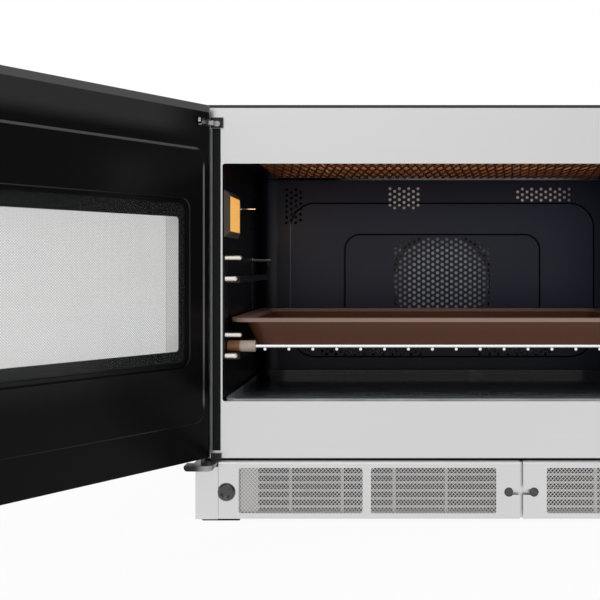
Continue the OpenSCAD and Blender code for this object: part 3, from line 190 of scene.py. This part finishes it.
def softbox(name, at, aim, size, watts):
    lamp = bpy.data.lights.new(name, "AREA")
    lamp.shape, lamp.size, lamp.size_y, lamp.energy = "RECTANGLE", size[0], size[1], watts
    holder = bpy.data.objects.new(name, lamp)
    holder.location = at
    holder.rotation_euler = (Vector(aim) - Vector(at)).to_track_quat("-Z", "Y").to_euler()
    bpy.context.scene.collection.objects.link(holder)
    return holder


softbox("softbox_top", (-0.3, -2.6, 2.2), (0, -0.4, 0), (2.4, 1.2), 14)
softbox("softbox_left", (-2.6, -2.2, 0.9), (0, -0.4, 0), (0.8, 1.6), 5)

floor = Finish("studio_floor", (0.93, 0.93, 0.93), rough=0.9)
plain = floor.add("ShaderNodeLightPath", output="Is Camera Ray")
plain = plain + floor.add("ShaderNodeLightPath", output="Is Glossy Ray")
white = floor.add("ShaderNodeEmission", inputs={"Color": (1, 1, 1, 1)})
lit = Value(floor, floor.shader.outputs[0])
mixed = floor.add("ShaderNodeMixShader", inputs={0: plain * 0.93, 1: lit, 2: white})
floor.link(floor.output.inputs["Surface"], mixed)

FLOOR_LEVEL = -0.3
shape = bmesh.new()
bmesh.ops.create_grid(shape, x_segments=1, y_segments=1, size=6)
bmesh.ops.translate(shape, verts=shape.verts, vec=place(0, 0, FLOOR_LEVEL))
mesh = bpy.data.meshes.new("studio_floor")
shape.to_mesh(mesh)
shape.free()
ground = bpy.data.objects.new("studio_floor", mesh)
mesh.materials.append(floor.material)
bpy.context.scene.collection.objects.link(ground)


# Stainless front: frame, vent strip, filter panels, control bezel and door skin.
# Sheet steel brushed along its length, so the grain runs left to right.
def dress(finish, *nodes):
    """Gives CAD nodes a finish through their material slots."""
    for name in nodes:
        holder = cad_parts[name]
        if not holder.material_slots:
            holder.data.materials.append(finish.material)
        for slot in holder.material_slots:
            slot.material = finish.material


def soften(width, *nodes):
    """Rounds the sharp edges of CAD nodes, as folded sheet and castings have."""
    for name in nodes:
        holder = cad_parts[name]
        weld = holder.modifiers.new("weld", "WELD")
        weld.merge_threshold = 1e-5
        bevel = holder.modifiers.new("edge", "BEVEL")
        bevel.width, bevel.segments, bevel.limit_method = width, 2, "ANGLE"
        bevel.angle_limit = math.radians(50)
        bevel.use_clamp_overlap = True


def brushed(name, color, rough):
    steel = Finish(name, color, rough=rough, metal=1.0)
    grain = steel.noise(1.0, detail=4, stretch=(6, 900, 900))
    cloud = steel.noise(2.2, detail=1)
    dark = tuple(c * 0.93 for c in color)
    tone = steel.blend(grain * 0.6 + cloud * 0.4, (*dark, 1), (*color, 1))
    steel.feed("Base Color", tone)
    steel.feed("Roughness", grain * 0.14 + (rough - 0.07))
    steel.bump(grain, 0.00002, 0.35)
    return steel


front_steel = brushed("brushed_front", (0.72, 0.72, 0.72), 0.34)
dress(front_steel, "front_frame", "door_skin", "control_bezel")
dress(front_steel, "vent_strip", "filter_left", "filter_right")
soften(0.0005, "vent_strip", "control_bezel", "door_skin")

# Case, base housing and feet. Folded sheet in satin dark paint with a faint
# orange peel, on black rubber pads.
case_paint = Finish("case_paint", (0.03, 0.03, 0.032), rough=0.42, Specular_IOR_Level=0.35)
case_paint.bump(case_paint.roughen(700, 0.12, 0.36), 0.00004, 0.4)
dress(case_paint, "outer_case", "base_housing")

rubber = Finish("black_rubber", (0.009, 0.0095, 0.0095), rough=0.6, Specular_IOR_Level=0.12)
rubber.bump(rubber.roughen(900, 0.2, 0.5), 0.00003, 0.4)
dress(rubber, "feet", "stile_pad")

# Zinc-coated sheet: the fan and its chamber, the ducts, and the covers of what is
# hidden in the case. It shows the usual crystal spangle, a little lighter and
# darker from patch to patch.
zinc = Finish("galvanised", (0.55, 0.56, 0.57), rough=0.38, metal=1.0)
where = zinc.coords()
spangle = zinc.add("ShaderNodeTexVoronoi", {"feature": "F1"}, {"Vector": where, "Scale": 160}, "Distance")
zinc.feed("Base Color", zinc.blend(spangle, (0.48, 0.49, 0.51, 1), (0.66, 0.67, 0.69, 1)))
zinc.feed("Roughness", spangle * 0.2 + 0.28)
dress(zinc, "fan_chamber", "fan_wheel", "lamp_socket", "waveguide")
dress(zinc, "magnetron", "capacitor", "blower_housing", "exhaust_duct", "damper_flap")

# Rear panel: zinc-coated sheet, seen from inside through the cavity's upper
# vents. Behind the left one its colour is painted near black as shade, and a
# faint lamp lights it behind the middle and the right one.
DARK_TO_X, DARK_TO_Y = -0.22, -0.0003
back_zinc = Finish("back_galvanised", (0.55, 0.56, 0.57), rough=0.4, metal=0.6)
# Painted shade: near black on the inner face behind the left vent.
painted_vent_shade = back_zinc.axis("Y").fade(DARK_TO_Y - 0.0003, DARK_TO_Y, 1.0, 0.0)
painted_vent_shade = painted_vent_shade * back_zinc.axis("X").fade(DARK_TO_X - 0.02, DARK_TO_X, 1.0, 0.0)
back_zinc.feed("Base Color", back_zinc.blend(painted_vent_shade, (0.55, 0.56, 0.57, 1), (0.004, 0.004, 0.005, 1)))
back_zinc.roughen(160, 0.2, 0.3, detail=3)
dress(back_zinc, "rear_panel")
vent_glow = softbox("vent_glow", place(-30, 356, 405), place(-30, 400, 405), (0.32, 0.03), 0.02)
vent_glow.data.color = (1.0, 0.8, 0.7)
vent_glow.data.specular_factor = 0

# Cavity. Five pressed steel sheets, welded into a box, under glossy enamel with
# fine flecks. It is blue-black, bluer to the right, with painted shade that makes
# it all but black on the side walls and in the corners by them.
CAVITY_X, CORNER, SIDE_WALL = -0.074, 0.262, 0.272
enamel = Finish("enamel", (0.011, 0.011, 0.022), rough=0.3, Specular_IOR_Level=0.25)
fleck = enamel.roughen(2600, 0.1, 0.24, detail=1)
specks = fleck.math("GREATER_THAN", 0.66) * 0.4
blue = enamel.blend(enamel.axis("X").fade(-0.15, 0.15), (0.011, 0.0115, 0.03, 1), (0.009, 0.013, 0.042, 1))
from_middle = (enamel.axis("X") - CAVITY_X).math("ABSOLUTE")
# Painted shade: near black towards the side walls and the corners by them.
blue_with_painted_shade = enamel.blend(from_middle.fade(CORNER, SIDE_WALL), blue, (0.003, 0.0028, 0.005, 1))
enamel.feed("Base Color", enamel.blend(specks, blue_with_painted_shade, (0.04, 0.041, 0.056, 1)))
enamel.bump(enamel.noise(60, detail=2), 0.0002, 0.12)
dress(enamel, "cavity_left", "cavity_right", "cavity_back", "cavity_ceiling", "cavity_floor")

# Fan cover. Pressed sheet under the same enamel, screwed to the back wall. Its two
# raised faces have the enamel's tone, its left edge has a painted highlight, and
# painted shade keeps its grooves and the walls of its holes black.
pressed = Finish("cover_enamel", (0.02, 0.021, 0.034), rough=0.3, Specular_IOR_Level=0.25)
OUTER_FACE, INNER_PANEL, LEFT_EDGE = -0.058, -0.061, -0.304
outer = pressed.axis("Y").near(OUTER_FACE, 0.0003, 0.0007)
inner = pressed.axis("Y").near(INNER_PANEL, 0.0003, 0.0007)
tone = pressed.blend(pressed.axis("X").fade(-0.3, 0.15), (0.021, 0.021, 0.048, 1), (0.018, 0.025, 0.07, 1))
face = (outer + inner).math("MINIMUM", 1.0)
# Painted shade: black everywhere but on the two raised faces.
painted_groove_shade = pressed.blend(face, (0.002, 0.002, 0.003, 1), tone)
# Painted highlight along the left edge.
painted_edge_highlight = pressed.axis("X").fade(LEFT_EDGE, LEFT_EDGE + 0.002, 1.0, 0.0)
pressed.feed("Base Color", pressed.blend(painted_edge_highlight, painted_groove_shade, (0.05, 0.055, 0.08, 1)))
pressed.feed("Metallic", 1 - face)
pressed.roughen(2600, 0.1, 0.24, detail=1)
dress(pressed, "fan_cover")

# Grill. A bent heating tube under a sheet reflector, both held in the ceiling. They
# glow like copper in the light of a warm lamp that stands just above the grille.
# The ring heater round the fan is bent from the same tube.
copper = Finish("grille_copper", (0.4, 0.2, 0.1), rough=0.4, metal=0.6)
patch = copper.roughen(30, 0.2, 0.32, detail=3)
copper.feed("Base Color", copper.blend(patch, (0.2, 0.09, 0.045, 1), (0.4, 0.21, 0.11, 1)))
dress(copper, "grill_reflector")
grill_glow = softbox("grill_glow", place(-74, 177, 431), place(-74, 177, 460), (0.48, 0.27), 0.28)
grill_glow.data.color = (1.0, 0.6, 0.35)

sheath = Finish("heater_sheath", (0.3, 0.17, 0.1), rough=0.45, metal=0.7)
scale = sheath.roughen(120, 0.2, 0.38, detail=4)
sheath.feed("Base Color", sheath.blend(scale, (0.16, 0.1, 0.07, 1), (0.45, 0.26, 0.14, 1)))
dress(sheath, "grill_element", "ring_heater")

# Lamp. A bevelled cast frame on the left wall, round a ribbed glass lens that its
# bulb lights from behind. A small warm lamp throws that light into the cavity.
lamp_grey = Finish("lamp_frame", (0.2, 0.16, 0.14), rough=0.35, metal=0.3)
lamp_grey.bump(lamp_grey.roughen(400, 0.2, 0.28), 0.00003, 0.4)
dress(lamp_grey, "lamp_frame")

lens = Finish("lamp_glass", (0.8, 0.45, 0.14), rough=0.3, Emission_Strength=0.8)
ribs = (lens.axis("Y") * 900).math("SINE") * 0.5 + 0.5
glow = lens.blend(ribs, (0.72, 0.26, 0.04, 1), (1.0, 0.6, 0.16, 1))
lens.feed("Emission Color", glow)
dress(lens, "lamp_lens", "lamp_bulb")
lamp_glow = softbox("lamp_glow", place(-338, 66, 360), place(0, 160, 330), (0.07, 0.04), 0.03)
lamp_glow.data.specular_factor = 0
lamp_glow.data.color = (1.0, 0.62, 0.3)

# Chromed steel: the rack, welded from wire, and the temperature probe, a thin rod
# that stands out of the left wall.
chrome = Finish("chrome_wire", (0.82, 0.82, 0.82), rough=0.12, metal=1.0)
haze = chrome.roughen(300, 0.14, 0.06, detail=3)
chrome.feed("Base Color", chrome.blend(haze, (0.74, 0.74, 0.74, 1), (0.88, 0.88, 0.87, 1)))
dress(chrome, "rack", "temperature_probe")

# Rack supports: steel rails and hooks fixed to both side walls at two levels. They
# are dark enamelled, with bright pins at the front and painted highlights on the hook tops.
PINS_END, HOOKS_START, HOOK_TOPS = -0.3932, -0.2, (-0.0263, 0.0642)
support = Finish("support_chrome", (0.01, 0.01, 0.014), rough=0.3, Specular_IOR_Level=0.3)
off_wall = support.axis("X").near(CAVITY_X, SIDE_WALL, SIDE_WALL + 0.001)
pins = support.axis("Y").fade(PINS_END, PINS_END + 0.0004, 1.0, 0.0) * off_wall
lower, upper = (support.axis("Z").near(top, 0.001, 0.0014) for top in HOOK_TOPS)
# Painted highlight: pale bands along the tops of the hooks.
hook_top_highlight = (lower + upper) * support.axis("Y").fade(HOOKS_START, HOOKS_START + 0.001)
rails_with_hook_highlight = support.blend(hook_top_highlight, (0.009, 0.009, 0.013, 1), (0.5, 0.49, 0.48, 1))
support.feed("Base Color", support.blend(pins, rails_with_hook_highlight, (0.8, 0.76, 0.7, 1)))
support.feed("Metallic", pins * 0.7)
support.roughen(300, 0.05, 0.22, detail=3)
dress(support, "supports_left", "supports_right")

# Bright steel: the door handle, and the antenna's vane in the cavity's floor. The
# hinge arms are bent from duller sheet, with painted shade that darkens them towards their pins.
bright = Finish("bright_steel", (0.66, 0.66, 0.67), rough=0.24, metal=1.0)
haze = bright.roughen(200, 0.16, 0.16, detail=3)
bright.feed("Base Color", bright.blend(haze, (0.58, 0.58, 0.59, 1), (0.72, 0.72, 0.73, 1)))
dress(bright, "door_handle", "antenna_vane")

arm_steel = Finish("arm_steel", (0.3, 0.3, 0.3), rough=0.35, metal=1.0)
arm_steel.roughen(200, 0.16, 0.28, detail=3)
ARM_DARK, ARM_LIGHT = -0.376, -0.36
# Painted shade: the arms go near black towards their pins.
pin_shade_fade = arm_steel.axis("X").fade(ARM_DARK, ARM_LIGHT)
arm_steel.feed("Base Color", arm_steel.blend(pin_shade_fade, (0.03, 0.03, 0.03, 1), (0.36, 0.36, 0.36, 1)))
dress(arm_steel, "hinge_arms")

# Loose pieces: a pressed pan in brown coating with a painted highlight on its
# rolled lip, silicone sleeves pushed on the rack's ends, with a painted highlight at
# their inner ends, and a dark glass tray with a painted sheen towards the front.
LIP_LOW, LIP_HIGH, SLEEVE_END = 230.8, 231.6, 0.256
coating = Finish("brown_coating", (0.085, 0.036, 0.022), rough=0.42, Specular_IOR_Level=0.3)
dust = coating.roughen(1500, 0.16, 0.34)
wall = coating.blend(dust, (0.1, 0.036, 0.019, 1), (0.15, 0.055, 0.029, 1))
# Painted highlight: the rolled lip is paler.
lip_highlight = coating.axis("Z").fade(place(0, 0, LIP_LOW).z, place(0, 0, LIP_HIGH).z)
coating.feed("Base Color", coating.blend(lip_highlight, wall, (0.3, 0.2, 0.16, 1)))
coating.bump(dust, 0.00002, 0.3)
dress(coating, "baking_pan")

silicone = Finish("brown_sleeve", (0.3, 0.14, 0.06), rough=0.45)
mottle = silicone.noise(160, detail=3)
dark = silicone.blend(mottle, (0.16, 0.065, 0.025, 1), (0.3, 0.14, 0.06, 1))
# Painted highlight: the sleeves are paler at their inner ends.
inner = silicone.axis("X").near(CAVITY_X, SLEEVE_END, SLEEVE_END + 0.003)
silicone.feed("Base Color", silicone.blend(inner, dark, (0.5, 0.4, 0.33, 1)))
silicone.bump(mottle, 0.0001, 0.2)
dress(silicone, "rack_sleeves")

tray_glass = Finish("tray_glass", (0.03, 0.036, 0.04), rough=0.08, Specular_IOR_Level=0.4)
ripple = tray_glass.noise(1.0, detail=3, stretch=(18, 90, 18))
near = tray_glass.axis("Y").fade(-0.37, -0.14, 1.0, 0.0)
# Painted sheen: paler towards the front, broken up by the ripple.
painted_front_sheen = (near * 0.8 + ripple - 0.55).math("MAXIMUM", 0.0)
tray_glass.feed("Base Color", tray_glass.blend(painted_front_sheen, (0.006, 0.006, 0.009, 1), (0.54, 0.59, 0.61, 1)))
tray_glass.feed("Roughness", ripple * 0.1 + 0.04)
tray_glass.bump(ripple, 0.0004, 0.2)
dress(tray_glass, "floor_tray")
soften(0.0006, "floor_tray")

# Hinge plates: pressed steel in black paint, screwed to the frame. The motors and
# the transformer, bolted down inside the case, are dull grey.
black_paint = Finish("black_steel", (0.008, 0.008, 0.008), rough=0.35, Specular_IOR_Level=0.35)
black_paint.bump(black_paint.roughen(800, 0.16, 0.26), 0.00003, 0.3)
dress(black_paint, "hinge_plates")

motor_paint = Finish("motor_steel", (0.16, 0.16, 0.17), rough=0.5, metal=0.4)
motor_paint.roughen(500, 0.2, 0.4, detail=3)
dress(motor_paint, "fan_motor", "antenna_motor", "transformer", "blower_motor")

# Mouldings and ceramic: the interlock block and the latch hooks in white plastic,
# the blower's wheel in black, the antenna's cover in bare ceramic. The circuit
# board behind the control glass is lacquered green.
white_plastic = Finish("white_plastic", (0.7, 0.7, 0.67), rough=0.45)
white_plastic.bump(white_plastic.noise(600, detail=2), 0.00003, 0.3)
dress(white_plastic, "interlock_block", "latch_hooks")

ceramic = Finish("ceramic_disc", (0.72, 0.7, 0.64), rough=0.6)
grit = ceramic.noise(300, detail=3)
ceramic.feed("Base Color", ceramic.blend(grit, (0.66, 0.64, 0.58, 1), (0.78, 0.76, 0.7, 1)))
dress(ceramic, "antenna_cover")

board = Finish("board_green", (0.02, 0.1, 0.04), rough=0.4)
traces = board.noise(180, detail=2)
board.feed("Base Color", board.blend(traces, (0.015, 0.08, 0.03, 1), (0.04, 0.16, 0.07, 1)))
dress(board, "control_board")

black_plastic = Finish("black_plastic", (0.02, 0.02, 0.02), rough=0.4)
black_plastic.bump(black_plastic.noise(500, detail=2), 0.00003, 0.3)
dress(black_plastic, "blower_wheel")

# Slotted plates: plain grey sheet punched with rows of slots, one fixed behind the
# windows of each filter panel.
plate_grey = Finish("slotted_grey", (0.45, 0.44, 0.43), rough=0.4, metal=0.8)
plate_grey.roughen(300, 0.2, 0.3)
dress(plate_grey, "slotted_plates")

# Control panel glass: smoked black, printed from behind, with a smooth gloss. It
# is held in the bezel, in front of the board.
panel_glass = Finish("black_glass", (0.006, 0.006, 0.007), rough=0.05, Coat_Weight=0.6)
panel_glass.roughen(12, 0.06, 0.03)
dress(panel_glass, "control_glass")

# Door inner frame: moulded in gloss black with a raised rim, the sharp edges on
# its rim's face rounded. It is drawn shut, and turned with the open door.
DOOR_ANGLE, HINGE = math.radians(-123), place(-369.5, -12.0, 0)
RIM_FACE, RIM_ROUND = -1.8, 0.0014
FLAT_EDGE, SHARP_EDGE = 0.02, 0.56


def turn_door(shape, angle):
    """Turns mesh about the door's hinge pins."""
    bmesh.ops.rotate(shape, verts=shape.verts, cent=HINGE, matrix=Matrix.Rotation(angle, 3, "Z"))


def merged_copy(name):
    """A CAD node's mesh with its loose triangles merged into whole faces."""
    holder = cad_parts[name]
    shape = bmesh.new()
    shape.from_mesh(holder.data)
    bmesh.ops.transform(shape, matrix=holder.matrix_world, verts=shape.verts)
    bmesh.ops.remove_doubles(shape, verts=shape.verts, dist=1e-6)
    bmesh.ops.dissolve_limit(shape, angle_limit=0.001, verts=shape.verts, edges=shape.edges)
    return shape


def put(name, shape, finish, body):
    """Makes a finished piece from mesh in place, riding on a body."""
    for face in shape.faces:
        curved = any(FLAT_EDGE < edge.calc_face_angle(0) < SHARP_EDGE for edge in face.edges)
        face.smooth = curved and len(face.verts) < 5
    mesh = bpy.data.meshes.new(name)
    shape.to_mesh(mesh)
    shape.free()
    piece = bpy.data.objects.new(name, mesh)
    mesh.materials.append(finish.material)
    bpy.context.scene.collection.objects.link(piece)
    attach(piece, body)
    return piece


# Its gloss black has painted highlights on the rim's edges and the top fold, and a
# painted reflection on the upper band away from the hinge; the lower band mirrors.
# The wall behind the screen's edge at the hinge side is painted pale, with a painted glow.
RIM_EDGE, RIM_TOP, TOP_FOLD, SCREEN_WALL = 0.0088, 0.188, 0.2315, 0.0335
RIM_FOOT, RIM_HEAD, RIM_CORNER = (-0.11, -0.1), (0.165, 0.175), (0.014, 0.024)
UPPER_BAND, FAR_SIDE, LOWER_BAND = (0.195, 0.215), (-0.41, -0.365), (-0.09, -0.03)
gloss_black = Finish("gloss_black", (0.004, 0.004, 0.0042), rough=0.18, Specular_IOR_Level=0.22,
                     Emission_Strength=1.0)
peel = gloss_black.roughen(90, 0.1, 0.12)
height = gloss_black.axis("Z")
# Painted reflection: the upper band away from the hinge is lighter.
upper_band_reflection = height.fade(*UPPER_BAND) * gloss_black.axis("X").fade(*FAR_SIDE, 1.0, 0.0)
# Painted highlight along the top fold.
top_fold_highlight = height.fade(TOP_FOLD, TOP_FOLD + 0.001)
out_x, out_y = gloss_black.axis("X") - HINGE.x, gloss_black.axis("Y") - HINGE.y
across = out_x * math.cos(DOOR_ANGLE) + out_y * math.sin(DOOR_ANGLE)
through_door = out_y * math.cos(DOOR_ANGLE) - out_x * math.sin(DOOR_ANGLE)
# Painted highlights along the rim's edges and along its top.
rim_highlight = across.near(RIM_EDGE, 0.0012, 0.0026)
rim_highlight = rim_highlight * height.fade(*RIM_FOOT) * height.fade(*RIM_HEAD, 1.0, 0.0)
rim_top_highlight = height.near(RIM_TOP, 0.0008, 0.0018) * across.fade(*RIM_CORNER)
# Painted light: the wall behind the screen's edge is pale and glows.
wall = across.near(SCREEN_WALL, 0.0004, 0.0008)
wall = wall * through_door.fade(0.0012, 0.0016, 1.0, 0.0)
moulded_with_highlights = gloss_black.blend(upper_band_reflection, (0.0045, 0.0045, 0.0047, 1), (0.03, 0.03, 0.03, 1))
moulded_with_highlights = gloss_black.blend(top_fold_highlight, moulded_with_highlights, (0.09, 0.09, 0.09, 1))
moulded_with_highlights = gloss_black.blend(rim_top_highlight * 0.5, moulded_with_highlights, (0.15, 0.15, 0.15, 1))
moulded_with_highlights = gloss_black.blend(rim_highlight, moulded_with_highlights, (0.15, 0.15, 0.15, 1))
gloss_black.feed("Base Color", gloss_black.blend(wall, moulded_with_highlights, (0.8, 0.8, 0.8, 1)))
gloss_black.feed("Emission Color", gloss_black.blend(wall, (0, 0, 0, 1), (0.26, 0.26, 0.26, 1)))
gloss_black.feed("Metallic", height.fade(*LOWER_BAND, 0.8, 0.0))
gloss_black.bump(peel, 0.0001, 0.06)

inner_frame = merged_copy("door_frame")
turn_door(inner_frame, -DOOR_ANGLE)


def on_face(edge, depth):
    """True where a sharp edge lies all along one face of the shut door."""
    level = place(0, depth, 0).y
    return edge.calc_face_angle(0) > 0.8 and all(abs(vert.co.y - level) < 1e-5 for vert in edge.verts)


rim_edges = [edge for edge in inner_frame.edges if on_face(edge, RIM_FACE)]
bmesh.ops.bevel(inner_frame, geom=rim_edges, offset=RIM_ROUND, segments=3, profile=0.5,
                affect="EDGES", material=-1, clamp_overlap=True)
turn_door(inner_frame, DOOR_ANGLE)
door_inner = put("door_inner_frame", inner_frame, gloss_black, "door")
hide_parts("door_frame")

# Door glasses, one in the inner frame and one in the door's front. Both are clear
# enough to see the room through the screen, and each is a hair smaller than its
# seat, so that no two faces coincide.
OFF_SEAT = 0.0001
clear = Finish("clear_glass", (0.2, 0.21, 0.21), rough=0.02, Alpha=0.03)
clear.roughen(6, 0.04, 0.01)
dress(clear, "inner_glass", "door_glass")
for pane in ("inner_glass", "door_glass"):
    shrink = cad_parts[pane].modifiers.new("off_seat", "DISPLACE")
    shrink.strength, shrink.mid_level = -OFF_SEAT, 0.0


# Door screen: thin steel sheet perforated edge to edge, set in the inner frame
# and turned with the open door. Three widths of it lie edge to edge.
def perforate(size, cell, web, thick):
    """A sheet about the origin with staggered diamond holes, in millimetres."""
    width, height = size
    reach = int(width / cell[0] + height / cell[1]) + 2
    sheet = bmesh.new()
    bmesh.ops.create_grid(sheet, x_segments=reach, y_segments=reach, size=reach / 2)
    cells = list(sheet.faces)
    bmesh.ops.inset_individual(sheet, faces=cells, thickness=web)
    bmesh.ops.delete(sheet, geom=cells, context="FACES")
    bmesh.ops.rotate(sheet, verts=sheet.verts, matrix=Matrix.Rotation(math.pi / 4, 3, "Z"))
    bmesh.ops.scale(sheet, verts=sheet.verts, vec=(cell[0] / math.sqrt(2), cell[1] / math.sqrt(2), 1))
    for way in (Vector((1, 0, 0)), Vector((-1, 0, 0)), Vector((0, 1, 0)), Vector((0, -1, 0))):
        edge = way * (width / 2 if way.x else height / 2)
        everything = list(sheet.verts) + list(sheet.edges) + list(sheet.faces)
        bmesh.ops.bisect_plane(sheet, geom=everything, plane_co=edge, plane_no=way, clear_outer=True)
    walls = bmesh.ops.extrude_face_region(sheet, geom=list(sheet.faces))
    moved = [v for v in walls["geom"] if isinstance(v, bmesh.types.BMVert)]
    bmesh.ops.translate(sheet, verts=moved, vec=(0, 0, thick))
    bmesh.ops.recalc_face_normals(sheet, faces=sheet.faces)
    return sheet


def settle(shape, x, y, z, turn=0.0):
    """Tips mesh drawn in millimetres about x, and sets it in its place."""
    bmesh.ops.rotate(shape, verts=shape.verts, matrix=Matrix.Rotation(turn, 3, "X"))
    bmesh.ops.scale(shape, verts=shape.verts, vec=(0.001, 0.001, 0.001))
    bmesh.ops.translate(shape, verts=shape.verts, vec=place(x, y, z))


SCREEN_MID, SCREEN_SIZE, SCREEN_BACK, WIDTHS = (-74.0, 277.3), (522.0, 160.0), -10.0, 3
SCREEN_CELL, SCREEN_WEB, SCREEN_THICK = (3.1, 2.8), 0.12, 0.4
screen_steel = Finish("screen_steel", (0.6, 0.6, 0.6), rough=0.4, metal=0.8)
screen_steel.roughen(500, 0.2, 0.3)
width = SCREEN_SIZE[0] / WIDTHS
for number in range(WIDTHS):
    sheet = perforate((width, SCREEN_SIZE[1]), SCREEN_CELL, SCREEN_WEB, SCREEN_THICK)
    middle = SCREEN_MID[0] + (number - (WIDTHS - 1) / 2) * width
    settle(sheet, middle, SCREEN_BACK, SCREEN_MID[1], math.pi / 2)
    turn_door(sheet, DOOR_ANGLE)
    screen = put(f"door_screen_mesh_{number + 1}", sheet, screen_steel, "door")
    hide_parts("door_screen")

# Ceiling grille: a lattice of long cells, cut from copper-coloured sheet and set
# in the ceiling under the grill's tube.
GRILLE_MID, GRILLE_SIZE, GRILLE_LOW = (-74.0, 177.0), (504.0, 294.0), 428.5
GRILLE_CELL, GRILLE_WEB, GRILLE_THICK = (11.4, 90.0), 0.16, 1.2
lattice = perforate(GRILLE_SIZE, GRILLE_CELL, GRILLE_WEB, GRILLE_THICK)
settle(lattice, *GRILLE_MID, GRILLE_LOW)
lattice_sheet = put("ceiling_lattice", lattice, copper, "oven")
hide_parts("ceiling_grille")

# Filter screens: expanded steel mesh behind each window of the filter panels,
# spot welded to the panel and pulled off with it.
filter_steel = Finish("filter_steel", (0.8, 0.8, 0.79), rough=0.35, metal=0.85)
filter_steel.roughen(700, 0.2, 0.28)
WINDOWS = ((-329.0, -185.0), (-175.0, -29.5))
WINDOW_LOW, WINDOW_HEIGHT, MESH_FACE, SIDE_LAP, TOP_LAP = 10.0, 52.6, -4.4, 1.0, 0.8
MESH_CELL, MESH_WEB, MESH_THICK = (4.25, 4.6), 0.12, 0.3
for body, side in (("filter_l", 1), ("filter_r", -1)):
    for number, (x0, x1) in enumerate(WINDOWS):
        mesh_size = (x1 - x0 + 2 * SIDE_LAP, WINDOW_HEIGHT + 2 * TOP_LAP)
        mesh_sheet = perforate(mesh_size, MESH_CELL, MESH_WEB, MESH_THICK)
        settle(mesh_sheet, side * (x0 + x1) / 2, MESH_FACE, WINDOW_LOW + WINDOW_HEIGHT / 2, math.pi / 2)
        put(f"{body}_mesh_{number + 1}", mesh_sheet, filter_steel, body)

# Round catches at the strip's ends and locating studs at its seam: turned in
# black plastic, the catches with a dished face for a fingertip.
CATCH = ((0, -7.2), (4.2, -7.5), (6.0, -8.9), (6.9, -9.7), (7.9, -9.8), (9.4, -8.6), (10.2, -6.6),
         (10.2, -6.1), (8.2, -6.1), (8.2, -0.1), (0, -0.1))
STUD = ((0, -5.7), (4.2, -5.9), (4.8, -5.6), (5.0, -5.2), (5.0, 0.7), (0, 0.7))
CATCH_X, STUD_X, STRIP_MIDDLE = 343.4, 14.6, 34.6


def turned(profile):
    """A closed solid turned about the y axis from (radius, depth) points."""
    shape = bmesh.new()
    points = [shape.verts.new((radius, depth, 0)) for radius, depth in profile]
    edges = [shape.edges.new(pair) for pair in zip(points, points[1:])]
    bmesh.ops.spin(shape, geom=points + edges, cent=(0, 0, 0), axis=(0, 1, 0), dvec=(0, 0, 0),
                   angle=math.tau, steps=40, use_merge=True, use_duplicate=False)
    bmesh.ops.remove_doubles(shape, verts=shape.verts, dist=1e-4)
    bmesh.ops.recalc_face_normals(shape, faces=shape.faces)
    return shape


catch_black = Finish("catch_black", (0.03, 0.03, 0.03), rough=0.22, Specular_IOR_Level=0.8)
catch_black.roughen(400, 0.1, 0.18)

for name, profile, x in (("catch_left", CATCH, -CATCH_X), ("catch_right", CATCH, CATCH_X),
                         ("stud_left", STUD, -STUD_X), ("stud_right", STUD, STUD_X)):
    knob = turned(profile)
    settle(knob, x, 0, STRIP_MIDDLE)
    catch = put(name, knob, catch_black, "oven")
    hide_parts("fixing_knobs")
